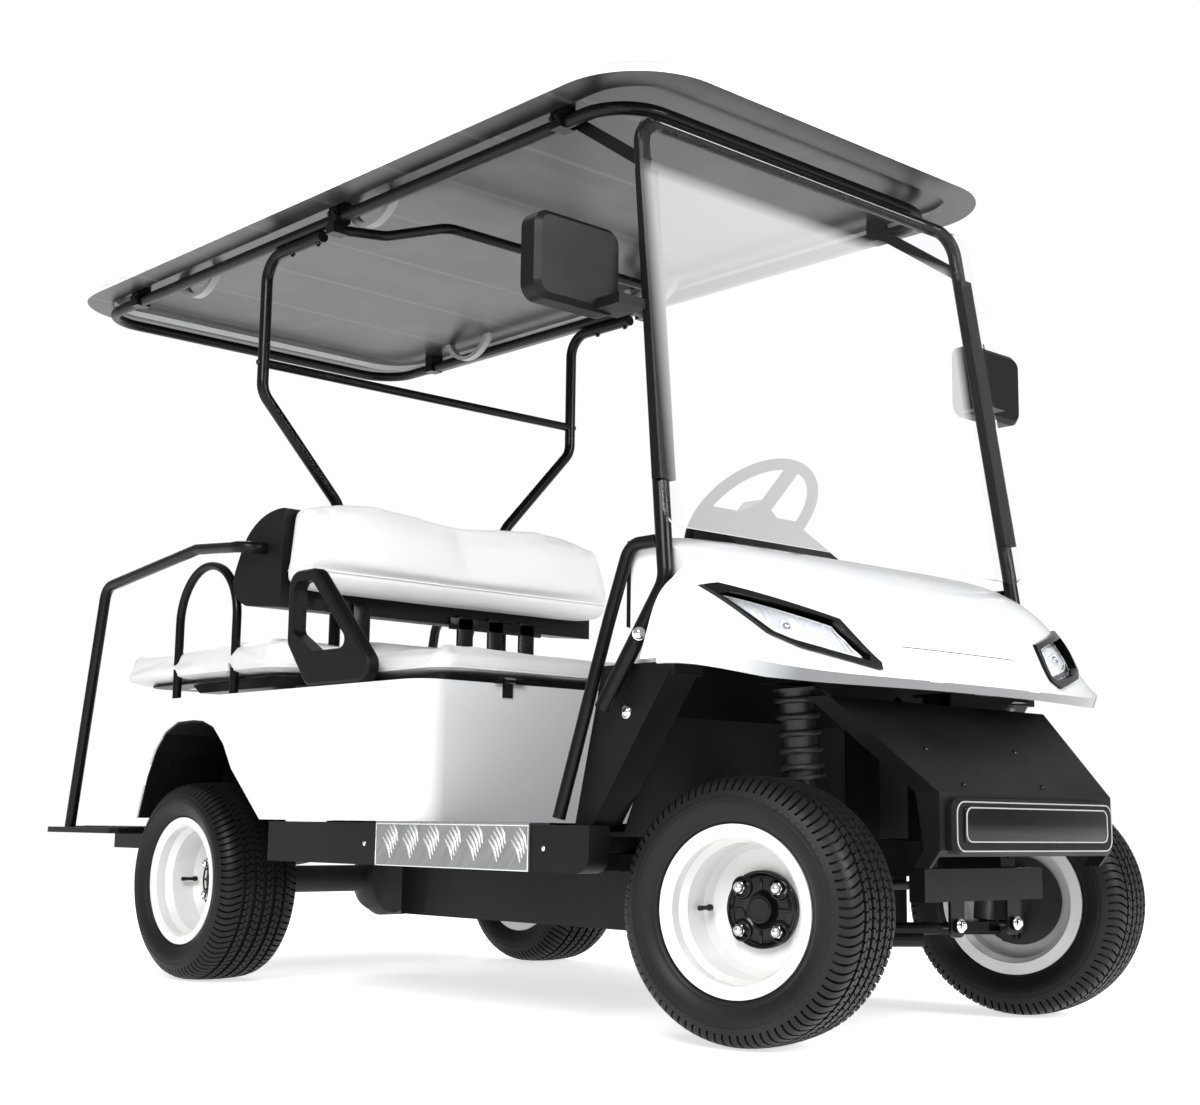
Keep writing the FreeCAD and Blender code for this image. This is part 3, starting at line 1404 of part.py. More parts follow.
def grab_rail():
    points = [V(shell_half_width + seat_gap, aft(rail_start_aft), rail_start_height),
              V(rail_x, aft(rail_start_aft), rail_start_height),
              V(rail_x, aft(rail_shoulder_aft), rail_shoulder_height),
              V(rail_x, aft(rail_elbow_aft), rail_elbow_height),
              V(rail_x, aft(rail_foot_aft), footrest_top - overrun)]
    flat = box(rail_x - overrun, rail_x + overrun, aft(rail_elbow_aft), aft(footrest_rear_aft) + overrun,
               footrest_top - overrun * 2, footrest_top + seat_gap)
    return tube(points, rail_tube_radius, rail_bend).cut(flat)


def handrail_hoops():
    """Two upright hoops beside the back seat; their rear legs share a bar behind the chassis."""
    radius = (hoop_rear_aft - hoop_front_aft) / 2
    crown = hoop_top - radius
    bar_z = rail_bottom + rear_rail_rise + rail_height / 2
    first = V(hoop_x, aft(hoop_front_aft), body_top + seat_gap)
    a = V(hoop_x, aft(hoop_front_aft), crown)
    m = V(hoop_x, aft(hoop_front_aft) + radius, hoop_top)
    b = V(hoop_x, aft(hoop_rear_aft), crown)
    last = V(hoop_x, aft(hoop_rear_aft), bar_z)
    path = Part.Wire([Part.LineSegment(first, a).toShape(), Part.Arc(a, m, b).toShape(),
                      Part.LineSegment(b, last).toShape()])
    circle = Part.Circle(first, Z_AXIS, hoop_radius).toShape()
    hoop = path.makePipeShell([Part.Wire(circle)], True, False)
    bar = rod(V(-hoop_x, last.y, bar_z), V(hoop_x, last.y, bar_z), hoop_radius)
    return hoop.multiFuse([mirrored(hoop), bar])


def footrest():
    """The step behind the back seat: a tread plate in a tube frame on two arms from the chassis."""
    plate = rounded_box(-footrest_half_width, footrest_half_width, aft(footrest_front_aft),
                        aft(footrest_rear_aft),
                        footrest_top - footrest_gauge, footrest_top, cushion_corner, Z_AXIS)
    arms = []
    for side in (-1, 1):
        x = side * main_rail_x
        w = footrest_arm_width / 2
        z = rail_bottom + rear_rail_rise
        start = aft(hoop_rear_aft) + hoop_radius + seat_gap
        outline = [(start, z + rail_height), (start, z),
                   (aft(footrest_front_aft), footrest_top - footrest_gauge - footrest_arm_width),
                   (aft(footrest_rear_aft) - footrest_arm_width,
                    footrest_top - footrest_gauge - footrest_arm_width),
                   (aft(footrest_rear_aft) - footrest_arm_width, footrest_top - footrest_gauge / 2),
                   (aft(footrest_front_aft) + footrest_arm_width / 2, footrest_top - footrest_gauge / 2)]
        arms.append(side_prism(outline, x - w, x + w))
    inset = footrest_tread_inset
    tread = box(-footrest_half_width + inset, footrest_half_width - inset,
                aft(footrest_front_aft) + inset / 2,
                aft(footrest_rear_aft) - inset / 2, footrest_top - footrest_gauge / 2,
                footrest_top + footrest_tread_rise)
    return plate.multiFuse(arms + [tread])


# Roof and its tubes
def roof_form():
    """The roof's outer form: a crowned top on an upright edge band."""
    def ring(inset, z, corner):
        x = roof_half_width - inset
        y0 = aft(roof_front_aft) + inset
        y1 = aft(roof_rear_aft) - inset
        flat = rounded_box(-x, x, y0, y1, z, z + sheet, corner, Z_AXIS)
        faces = [f for f in flat.Faces if abs(f.BoundBox.ZMax - z) < seat_gap]
        return faces[0].OuterWire

    low = ring(0, roof_lip_height, roof_corner)
    high = ring(roof_edge_inset / 4, roof_lip_height + roof_side_height / 2,
                roof_corner - roof_edge_inset / 4)
    shoulder = ring(roof_edge_inset, roof_lip_height + roof_side_height, roof_corner - roof_edge_inset)
    inner = ring(roof_edge_inset * 3, roof_lip_height + roof_side_height + roof_crown, roof_corner / 4)
    body = Part.makeLoft([low, high], True, True)
    body = body.fuse(Part.makeLoft([high, shoulder], True, True))
    body = body.fuse(Part.makeLoft([shoulder, inner], True, True))
    return body


def roof_slab(inset, bottom, top, corner):
    """A level slab of the roof's outline drawn in by the inset."""
    x = roof_half_width - inset
    return rounded_box(-x, x, aft(roof_front_aft) + inset, aft(roof_rear_aft) - inset, bottom, top, corner,
                       Z_AXIS)


def roof_canopy():
    """The moulded roof, flat beneath."""
    return roof_form().cut(roof_slab(-overrun, roof_lip_height - overrun, roof_ceiling_height, roof_corner))


def roof_lip():
    """The border frame under the roof, round the recess that its tubes lie in."""
    border = roof_form().common(roof_slab(-overrun, roof_lip_height - overrun,
                                          roof_ceiling_height - seat_gap, roof_corner))
    return border.cut(roof_slab(roof_recess_inset, roof_lip_height - overrun, roof_ceiling_height + overrun,
                                roof_corner - roof_recess_inset))


def roof_frame():
    """The tubes under the canopy: a side tube with its clamp blocks on each side, and a bow at each end."""
    z = roof_tube_height
    x = roof_tube_x
    front = aft(roof_tube_front_aft)
    rear = aft(roof_tube_rear_aft)
    leg = roof_tube_bend + roof_tube_radius
    side_tube = rod(V(x, front + leg + seat_gap, z), V(x, rear - leg - seat_gap, z), roof_tube_radius)
    top = roof_ceiling_height - seat_gap
    blocks = [box(x - clamp_width / 2, x + clamp_width / 2, aft(y) - clamp_length / 2,
                  aft(y) + clamp_length / 2, z - roof_tube_radius, top) for y in clamp_aft]
    side_tube = side_tube.multiFuse(blocks)
    bows = []
    for end, foot in ((front, front + leg), (rear, rear - leg)):
        points = [V(-x, foot, z), V(-x, end, z), V(x, end, z), V(x, foot, z)]
        bows.append(tube(points, roof_tube_radius, roof_tube_bend))
    return Part.makeCompound([side_tube, mirrored(side_tube)] + bows)


def rear_struts():
    """Two bent tubes from the roof frame down to the back seat's frame, tied by a cross bar."""
    points = [V(roof_tube_x, aft(strut_top_aft), strut_top_height),
              V(roof_tube_x, aft(strut_aft), strut_top_height),
              V(roof_tube_x, aft(strut_aft), strut_knee_height),
              V(strut_low_x, aft(strut_aft), strut_low_height),
              V(strut_low_x, aft(strut_aft), body_top + rear_pan_depth / 2)]
    left = tube(points, strut_tube_radius, strut_bend)
    bar = rod(V(-roof_tube_x, aft(strut_aft), brace_height), V(roof_tube_x, aft(strut_aft), brace_height),
              brace_radius)
    return left.multiFuse([mirrored(left), bar, deck_bar(strut_aft)])


def overhead_tube():
    """The forward-bowed tube between the side tubes, hung from them by a block at each end."""
    z = overhead_height
    points = [V(0, aft(overhead_bow_aft), z), V(overhead_bow_x, aft(overhead_bow_aft), z),
              V(overhead_knee_x, aft(overhead_knee_aft), z),
              V(roof_tube_x, aft(overhead_start_aft), z)]
    half = tube(points, overhead_radius, overhead_bend)
    middle = V(roof_tube_x, aft(overhead_start_aft), 0)
    block = box(middle.x - clamp_width / 2, middle.x + clamp_width / 2, middle.y - clamp_length / 2,
                middle.y + clamp_length / 2, z - overhead_radius,
                roof_tube_height - roof_tube_radius - seat_gap)
    return half.multiFuse([mirrored(half), block, mirrored(block)])


def grab_hooks():
    """Curved grab handles hung from the roof beside the side tubes."""
    pieces = []
    top = roof_ceiling_height - seat_gap
    for side in (-1, 1):
        for front, rear in hook_aft:
            a = V(side * hook_x, aft(front), top)
            b = V(side * hook_x, aft(rear), top)
            m = V(side * hook_x, (a.y + b.y) / 2, top - hook_drop)
            lift = V(0, 0, hook_gauge)
            inner_a = a + V(0, hook_width, 0)
            inner_b = b - V(0, hook_width, 0)
            inner_m = m + lift
            face = Part.Face(Part.Wire([
                Part.Arc(a, m, b).toShape(), Part.LineSegment(b, inner_b).toShape(),
                Part.Arc(inner_b, inner_m, inner_a).toShape(), Part.LineSegment(inner_a, a).toShape()]))
            pieces.append(face.extrude(V(side * hook_width, 0, 0)))
    return Part.makeCompound(pieces)


# Windshield
def post_y(z):
    """Where the leaning posts stand at a given height."""
    slope = (post_top_aft - post_kink_aft) / (post_top_height - post_kink_height)
    return aft(post_kink_aft + (z - post_kink_height) * slope)


def post_x(z):
    slope = (post_kink_x - post_top_x) / (post_top_height - post_kink_height)
    return post_kink_x - (z - post_kink_height) * slope


def windshield_frame():
    """The inverted U of round tube that carries the screen, cranked outwards at its feet."""
    points = [V(0, aft(post_top_aft), post_top_height), V(post_top_x, aft(post_top_aft), post_top_height),
              V(post_kink_x, aft(post_kink_aft), post_kink_height),
              V(post_bolt_x, aft(post_bolt_aft), post_bolt_height)]
    half = tube(points, post_radius, post_bend)
    brace = windshield_brace()
    return half.multiFuse([mirrored(half), brace, mirrored(brace)])


def windshield_brace():
    """The flat tie from a post back to the roof's side tube."""
    start = V(post_x(wind_brace_height) - post_radius - wind_brace_gauge / 2, post_y(wind_brace_height),
              wind_brace_height)
    end = V(roof_tube_x - roof_tube_radius - wind_brace_gauge - seat_gap, aft(wind_brace_aft),
            roof_tube_height)
    along = (end - start).normalize()
    side = along.cross(X_AXIS).normalize() * (wind_brace_width / 2)
    return prism([start - side, start + side, end + side, end - side], V(wind_brace_gauge, 0, 0))


def windshield_glass():
    """A clear sheet leaning with the posts, rounded at its corners."""
    low_y = post_y(glass_low_height) - glass_stand_off
    top_y = post_y(glass_top_height) - glass_stand_off
    points = [V(-glass_low_half, low_y, glass_low_height), V(glass_low_half, low_y, glass_low_height),
              V(glass_top_half, top_y, glass_top_height), V(-glass_top_half, top_y, glass_top_height)]
    return Part.Face(rounded_loop(points, glass_corner)).extrude(V(0, -glass_gauge, 0))


def channel_form(side, inset, run_on):
    """A square bar leaning with one post, from the low to the top end of its channel."""
    rings = []
    front = seat_gap - glass_stand_off + inset
    rear = front + channel_depth - inset + run_on
    half = channel_width / 2 - inset
    for z in (channel_low_height - run_on, channel_top_height + run_on):
        x = side * post_x(z)
        y = post_y(z)
        ring = [V(x - half, y + front, z), V(x + half, y + front, z), V(x + half, y + rear, z),
                V(x - half, y + rear, z)]
        rings.append(Part.makePolygon(ring + [ring[0]]))
    return Part.makeLoft(rings, True, True)


def windshield_channels():
    """Open extrusions that wrap the front of both posts and hold the sheet's edges."""
    pieces = [channel_form(side, 0, 0).cut(channel_form(side, channel_gauge, overrun)) for side in (-1, 1)]
    return Part.makeCompound([s for p in pieces for s in p.Solids])


def mirror_unit():
    """A mirror housing on a square arm clamped to the windshield post."""
    y = aft(mirror_aft)
    housing = rounded_box(mirror_in_x, mirror_out_x, y - mirror_depth, y, mirror_low, mirror_high,
                          mirror_corner, Y_AXIS)
    front = [e for e in housing.Edges if abs(e.BoundBox.YMax - (y - mirror_depth)) < seat_gap]
    housing = housing.makeChamfer(mirror_rim, front)
    glass_seat = rounded_box(mirror_in_x + mirror_rim, mirror_out_x - mirror_rim, y - mirror_rim / 2,
                             y + overrun,
                             mirror_low + mirror_rim, mirror_high - mirror_rim, mirror_corner - mirror_rim,
                             Y_AXIS)
    housing = housing.cut(glass_seat)
    z = mirror_arm_height
    half = mirror_arm_width / 2
    arm = box(post_x(z - half) + channel_width / 2 + seat_gap, mirror_in_x + mirror_corner * 2,
              post_y(z) - half,
              y - mirror_depth / 2, z - half, z + half)
    return housing.fuse(arm)


# Controls
def column_axis():
    turn = math.radians(column_tilt)
    return V(0, math.sin(turn), math.cos(turn))


def steering_wheel():
    """A three-spoke wheel, drawn flat and then tilted on its column."""
    grip = Part.makeTorus(steering_wheel_radius, steering_grip_radius, V(0, 0, 0), Z_AXIS)
    hub = Part.makeCylinder(steering_hub_radius, steering_hub_depth, V(0, 0, -steering_hub_depth))
    half = steering_spoke_width / 2
    spokes = []
    for angle in (0, 180, 270):
        spoke = box(steering_hub_radius / 2, steering_wheel_radius, -half, half,
                    -steering_hub_depth / 2, -steering_hub_depth / 2 + steering_spoke_gauge)
        spoke.rotate(V(0, 0, 0), Z_AXIS, angle)
        spokes.append(spoke)
    wheel = grip.multiFuse([hub] + spokes)
    wheel.rotate(V(0, 0, 0), X_AXIS, -column_tilt)
    wheel.translate(V(wheel_x, aft(wheel_aft), wheel_height))
    return wheel


def steering_column():
    """The column tube and its shroud, from the toe board to just under the wheel."""
    axis = column_axis()
    centre = V(wheel_x, aft(wheel_aft), wheel_height)
    top = centre - axis * (steering_hub_depth + column_gap)
    foot = centre - axis * ((wheel_height - column_foot_height) / axis.z)
    tube_part = rod(foot, top, column_radius)
    shroud_start = top - axis * shroud_length
    shroud = rod(shroud_start, top - axis * column_gap, column_shroud_radius)
    return tube_part.fuse(shroud)


def pedals():
    """Two pads on short arms that come square out of the sloping toe board."""
    toe_foot = V(0, aft(floor_front_aft), floor_top)
    along = (V(0, aft(toe_top_aft), toe_top_height) - toe_foot).normalize()
    outwards = V(0, along.z, -along.y)
    pieces = []
    for i in (-1, 1):
        x = wheel_x + i * pedal_spacing / 2
        y = aft(pedal_aft)
        z = floor_top + pedal_floor_gap
        pad = rounded_box(x - pedal_width / 2, x + pedal_width / 2, y, y + pedal_gauge, z, z + pedal_height,
                          pedal_gauge, Y_AXIS)
        end = V(x, y + pedal_gauge / 2, z + pedal_height / 2)
        reach = (end - toe_foot).dot(outwards) - seat_gap
        pieces.append(pad.fuse(rod(end - outwards * reach, end, pedal_arm_radius)))
    return Part.makeCompound(pieces)


def dash():
    """The dash across the cab, drawn back at both ends, with a raised shade and an open pocket."""
    rear = aft(dash_rear_aft)
    front = aft(toe_top_aft) + seat_gap
    lip = aft(cowl_rear_aft) + seat_gap
    outline = [(front, dash_bottom), (rear - dash_foot_inset, dash_bottom),
               (rear, dash_bottom + dash_foot_rise),
               (rear, dash_top - dash_corner), (rear - dash_corner, dash_top), (lip, dash_front_top),
               (lip, dash_shelf_height), (front, dash_shelf_height)]
    body = side_prism(outline, -dash_half_width, dash_half_width)
    plan = [V(-dash_half_width, front, dash_bottom), V(-dash_half_width, aft(dash_side_aft), dash_bottom),
            V(-dash_flat_half, rear, dash_bottom), V(dash_flat_half, rear, dash_bottom),
            V(dash_half_width, aft(dash_side_aft), dash_bottom), V(dash_half_width, front, dash_bottom)]
    body = body.common(prism(plan, V(0, 0, dash_top - dash_bottom)))
    hood = side_prism([(aft(hood_front_aft), dash_front_top), (aft(hood_rear_aft), dash_top - dash_corner),
                       (aft(hood_rear_aft), hood_top - hood_corner),
                       (aft(hood_rear_aft) - hood_corner, hood_top),
                       (aft(hood_front_aft), dash_top)], -hood_half_width, hood_half_width)
    pocket = box(pocket_x - pocket_width / 2, pocket_x + pocket_width / 2, rear - pocket_depth,
                 rear + overrun,
                 pocket_low_height, pocket_low_height + pocket_height)
    axis = column_axis()
    centre = V(wheel_x, aft(wheel_aft), wheel_height)
    clear = rod(centre - axis * wheel_height, centre, column_shroud_radius + column_gap / 2)
    return body.fuse(hood).cut(pocket).cut(clear)


nodes = {
    "chassis_frame": chassis_frame(),
    "lower_arms": both_sides(lower_arm()),
    "front_struts": both_sides(front_strut()),
    "rear_axle": rear_axle(),
    "rear_springs": both_sides(rear_spring()),
    "battery_cradle": battery_cradle(),
    "battery_pack": battery_pack(),
    "floor_pan": floor_pan(),
    "rockers": both_sides(rocker()),
    "tread_plates": both_sides(tread_plate()),
    "front_cowl": front_cowl(),
    "headlight_housings": headlight_housings(),
    "headlight_lenses": headlight_lenses(),
    "front_apron": front_apron(),
    "door_trims": both_sides(door_trim()),
    "side_panels": both_sides(side_panel()),
    "dash": dash(),
    "rear_body": rear_body(),
    "rear_liners": both_sides(rear_liner()),
    "seat_board": seat_board(),
    "seat_hinges": seat_hinges(),
    "front_seat_cushion": front_seat_cushion(),
    "hip_restraints": both_sides(hip_restraint()),
    "seat_back_shell": seat_back_shell(),
    "front_back_cushion": front_back_cushion(),
    "rear_back_cushion": rear_back_cushion(),
    "rear_seat_cushion": rear_seat_cushion(),
    "rear_seat_pan": rear_seat_pan(),
    "grab_rails": both_sides(grab_rail()),
    "handrail_hoops": handrail_hoops(),
    "footrest": footrest(),
    "roof_canopy": roof_canopy(),
    "roof_lip": roof_lip(),
    "roof_frame": roof_frame(),
    "overhead_tube": overhead_tube(),
    "rear_struts": rear_struts(),
    "grab_hooks": grab_hooks(),
    "windshield_frame": windshield_frame(),
    "windshield_glass": windshield_glass(),
    "windshield_channels": windshield_channels(),
    "mirrors": both_sides(mirror_unit()),
    "steering_column": steering_column(),
    "steering_wheel": steering_wheel(),
    "pedals": pedals(),
    "knuckle_left": placed_front(knuckle(), 1),
    "knuckle_right": placed_front(knuckle(), -1),
    "tie_rod": tie_rod(),
}
for name, place, side in (("front_left", front_wheel_piece, 1), ("front_right", front_wheel_piece, -1),
                          ("rear_left", rear_wheel_piece, 1), ("rear_right", rear_wheel_piece, -1)):
    nodes[name + "_tyre"] = place(tyre(), side)
    nodes[name + "_rim"] = place(rim(), side)
    nodes[name + "_cap"] = place(wheel_cap(), side)

os.makedirs("parts", exist_ok=True)
for name, shape in nodes.items():
    print(name, len(shape.Solids), shape.isValid(), [round(v) for v in (
        shape.BoundBox.XMin, shape.BoundBox.XMax, shape.BoundBox.YMin, shape.BoundBox.YMax,
        shape.BoundBox.ZMin, shape.BoundBox.ZMax)])
    shape.exportStep("parts/" + name + ".step")
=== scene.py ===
import json
import math

import bmesh
import bpy
from bpy.props import FloatProperty, FloatVectorProperty, IntProperty, PointerProperty
from mathutils import Matrix, Vector, noise
from mathutils.bvhtree import BVHTree


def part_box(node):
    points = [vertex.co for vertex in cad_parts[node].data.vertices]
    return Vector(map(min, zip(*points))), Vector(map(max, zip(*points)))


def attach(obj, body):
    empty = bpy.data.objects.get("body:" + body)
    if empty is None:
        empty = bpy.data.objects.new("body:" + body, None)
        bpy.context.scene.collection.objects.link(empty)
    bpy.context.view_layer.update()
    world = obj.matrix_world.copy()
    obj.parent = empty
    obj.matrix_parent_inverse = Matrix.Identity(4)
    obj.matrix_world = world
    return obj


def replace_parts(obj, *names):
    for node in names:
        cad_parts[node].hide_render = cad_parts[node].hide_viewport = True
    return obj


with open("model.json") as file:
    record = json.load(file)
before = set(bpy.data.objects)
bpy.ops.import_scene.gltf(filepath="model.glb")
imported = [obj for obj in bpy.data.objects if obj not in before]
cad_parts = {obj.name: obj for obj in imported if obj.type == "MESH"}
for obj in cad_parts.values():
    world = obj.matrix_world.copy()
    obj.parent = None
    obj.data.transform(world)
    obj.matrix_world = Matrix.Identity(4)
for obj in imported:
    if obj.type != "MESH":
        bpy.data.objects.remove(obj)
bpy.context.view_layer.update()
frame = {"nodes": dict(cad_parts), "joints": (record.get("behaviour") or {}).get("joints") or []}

bl_info = {
    "name": "Four-seat golf cart",
    "version": (1, 0, 0),
    "blender": (4, 5, 0),
    "location": "3D View > Sidebar > Cart",
    "description": "Dresses the golf cart's frame with its finishes, tyres, cushions and fittings",
    "category": "Add Mesh",
}

# Metres. Forward is -Y, the cart's left is +X. Places called "aft" are behind the front axle.
MM = 0.001
JOINTS = {j["name"]: j for j in frame["joints"]}
FRONT_AXLE_Y = JOINTS["steer_left"]["pos_m"][1]
WHEELS = ("front_left", "front_right", "rear_left", "rear_right")
WELD = 1e-6  # places nearer than this are one
AHEAD = -3.0  # a place well in front of the cart
BACKWARDS = Vector((0, 1, 0))


def place(x, aft, z):
    """A place in millimetres across, behind the front axle and above the floor."""
    return Vector((x * MM, aft * MM + FRONT_AXLE_Y, z * MM))


# Sizes and colours that a user would change
class CartFinish(bpy.types.PropertyGroup):
    """Colours of the cart's main finishes."""
    body: FloatVectorProperty(name="Body", description="Gloss paint of the body and cowl", subtype="COLOR",
                              default=(0.80, 0.81, 0.82))
    vinyl: FloatVectorProperty(name="Vinyl", description="Seat covers", subtype="COLOR", default=(0.76, 0.76, 0.755))
    plastic: FloatVectorProperty(name="Plastic", description="Moulded trim", subtype="COLOR",
                                 default=(0.0035, 0.0035, 0.0037))
    enamel: FloatVectorProperty(name="Rims", description="Wheel enamel", subtype="COLOR", default=(0.78, 0.78, 0.77))


class CartStage(bpy.types.PropertyGroup):
    """Where the camera stands and how it looks."""
    stand: FloatVectorProperty(name="Camera place", description="Where the camera stands", subtype="TRANSLATION",
                               default=(-2.6933, -3.1699, 0.3681))
    azimuth: FloatProperty(name="Azimuth", description="Turn round the cart", subtype="ANGLE", default=-0.7456)
    elevation: FloatProperty(name="Elevation", description="Rise above the level", subtype="ANGLE", default=-0.15796)
    roll: FloatProperty(name="Roll", description="Lean of the camera", subtype="ANGLE", default=0.0122)
    lens: FloatProperty(name="Lens", description="Focal length in millimetres", default=53.145, min=10)
    ambience: FloatProperty(name="Ambience", description="Strength of the light from all round", default=0.42, min=0)


# Shader nodes and the groups that several finishes share
def join(tree, value, socket):
    """Links a socket from another one, or sets it to a plain value."""
    if isinstance(value, bpy.types.NodeSocket):
        tree.links.new(value, socket)
    else:
        socket.default_value = value


def join_all(tree, node, sockets):
    for key, value in sockets.items():
        join(tree, value, node.inputs[key])


def add(tree, kind, sockets=None, **settings):
    """A shader node with its settings, and its sockets set or linked."""
    made = tree.nodes.new("ShaderNode" + kind)
    for key, value in settings.items():
        setattr(made, key, value)
    join_all(tree, made, sockets or {})
    return made


def sums(tree, operation, *values):
    """What a Math node makes of sockets or numbers."""
    return add(tree, "Math", dict(enumerate(values)), operation=operation).outputs["Value"]


def ranged(tree, value, low=0.0, high=1.0, start=0.0, end=1.0):
    """A value carried from one range to another and held at its ends."""
    sockets = {"Value": value, "From Min": low, "From Max": high, "To Min": start, "To Max": end}
    return add(tree, "MapRange", sockets).outputs["Result"]


def noisy(tree, spot, scale, detail, rough=0.5, warp=0.0):
    sockets = {"Vector": spot, "Scale": scale, "Detail": detail, "Roughness": rough, "Distortion": warp}
    return add(tree, "TexNoise", sockets).outputs["Fac"]


def own_place(tree):
    """The place on the piece in its own coordinates."""
    return add(tree, "TexCoord").outputs["Object"]


def part_of(tree, vector, letter):
    return add(tree, "SeparateXYZ", {"Vector": vector}).outputs[letter]


def mixed(tree, mask, first, second, kind="RGBA"):
    """A colour or number that goes from first to second as the mask rises."""
    ends = [(*end, 1.0) if isinstance(end, tuple) else end for end in (first, second)]
    return add(tree, "Mix", {"A": ends[0], "B": ends[1], "Factor": mask}, data_type=kind).outputs["Result"]


def new_group(name, outputs, **inputs):
    """An empty group of number sockets, with the sockets at its two ends."""
    tree = bpy.data.node_groups.new(name, "ShaderNodeTree")
    for label, default in inputs.items():
        tree.interface.new_socket(label, in_out="INPUT", socket_type="NodeSocketFloat").default_value = default
    for label in outputs:
        tree.interface.new_socket(label, in_out="OUTPUT", socket_type="NodeSocketFloat")
    return tree, tree.nodes.new("NodeGroupInput").outputs, tree.nodes.new("NodeGroupOutput").inputs


def grain_group():
    """Fine moulded or sprayed texture: a height, and a slow patchy mask."""
    tree, given, out = new_group("Moulded grain", ("Height", "Mask"), Scale=300.0, Patch=4.0)
    spot = own_place(tree)
    join(tree, noisy(tree, spot, given["Scale"], 3.0), out["Height"])
    join(tree, noisy(tree, spot, given["Patch"], 5.0, 0.6), out["Mask"])
    return tree


def leather_group():
    """Vinyl grain: small cells with soft creases, and broad stretch marks."""
    tree, given, out = new_group("Vinyl grain", ("Height", "Mask"), Scale=260.0)
    spot = own_place(tree)
    cells = add(tree, "TexVoronoi", {"Vector": spot, "Scale": given["Scale"]}, feature="DISTANCE_TO_EDGE")
    creases = ranged(tree, cells.outputs["Distance"], high=0.25)
    stretch = noisy(tree, spot, 7.0, 4.0)
    join(tree, sums(tree, "MULTIPLY_ADD", creases, 0.6, stretch), out["Height"])
    join(tree, stretch, out["Mask"])
    return tree


def dust_group():
    """Road dust: strongest near the floor, broken up by noise."""
    tree, given, out = new_group("Road dust", ("Dust",), Reach=0.5, Amount=0.3)
    spot = own_place(tree)
    fade = ranged(tree, part_of(tree, spot, "Z"), high=given["Reach"], start=1.0, end=0.0)
    patches = ranged(tree, noisy(tree, spot, 9.0, 6.0), 0.42, 0.75)
    join(tree, sums(tree, "MULTIPLY", sums(tree, "MULTIPLY", fade, patches), given["Amount"]), out["Dust"])
    return tree


def brushed_group():
    """Long slanting scratches in the plane of the cart's side."""
    tree, given, out = new_group("Brushed metal", ("Height", "Mask"), Scale=150.0)
    sockets = {"Vector": own_place(tree), "Rotation": (math.radians(128), 0, 0), "Scale": (1, 22, 1)}
    slant = add(tree, "Mapping", sockets, vector_type="TEXTURE")
    streaks = noisy(tree, slant.outputs["Vector"], given["Scale"], 4.0, 0.7)
    join(tree, streaks, out["Height"])
    join(tree, streaks, out["Mask"])
    return tree


def pane_group():
    """The open middle of the windshield, clear of its posts and of the tube along its top: where the windshield's
    painted glow goes.
    """
    tree, given, out = new_group("Open pane", ("Mask",), Middle=-0.045, Half=0.485, Top=1.60)
    spot = own_place(tree)
    across = sums(tree, "ABSOLUTE", sums(tree, "SUBTRACT", part_of(tree, spot, "X"), given["Middle"]))
    sides, top = (ranged(tree, sums(tree, "SUBTRACT", given[limit], value), high=0.035)
                  for limit, value in (("Half", across), ("Top", part_of(tree, spot, "Z"))))
    join(tree, sums(tree, "MULTIPLY", sides, top), out["Mask"])
    return tree


GROUP_MAKERS = {"grain": grain_group, "leather": leather_group, "dust": dust_group, "brushed": brushed_group,
                "pane": pane_group}
GROUPS = {}


def placed_group(tree, name, **values):
    """A shared group's outputs, as placed in a material."""
    if name not in GROUPS:
        GROUPS[name] = GROUP_MAKERS[name]()
    return add(tree, "Group", values, node_tree=GROUPS[name]).outputs


def blank(name):
    """A new material with its tree and its shader."""
    material = bpy.data.materials.new(name)
    material.use_nodes = True
    return material, material.node_tree, material.node_tree.nodes["Principled BSDF"]


SPREAD = 0.25  # how far roughness strays from its middle value
COAT_ROUGHNESS = 0.06
DUST = (0.18, 0.165, 0.145)


def finish(name, colour, rough, metal=0.0, coat=0.0, grain=300.0, bump=0.1, depth=0.0004, vary=0.85, patch=4.0,
           dust=0.0, reach=0.5, dust_colour=DUST, texture="grain", level=0.5):
    """A painted, moulded or cast finish with patchy colour and roughness, fine relief and road dust."""
    material, tree, shader = blank(name)
    surface = placed_group(tree, texture, Scale=grain, **({"Patch": patch} if texture == "grain" else {}))
    mask = surface["Mask"]
    tone = mixed(tree, mask, tuple(c * vary for c in colour), colour)
    if dust:
        tone = mixed(tree, placed_group(tree, "dust", Reach=reach, Amount=dust)["Dust"], tone, dust_colour)
    relief = add(tree, "Bump", {"Strength": bump, "Distance": depth, "Height": surface["Height"]})
    spread = ranged(tree, mask, 0.3, 0.7, rough * (1 - SPREAD), min(1.0, rough * (1 + SPREAD)))
    join_all(tree, shader, {"Base Color": tone, "Roughness": spread, "Normal": relief.outputs["Normal"],
                            "Metallic": metal, "Coat Weight": coat, "Coat Roughness": COAT_ROUGHNESS,
                            "Specular IOR Level": level})
    return material


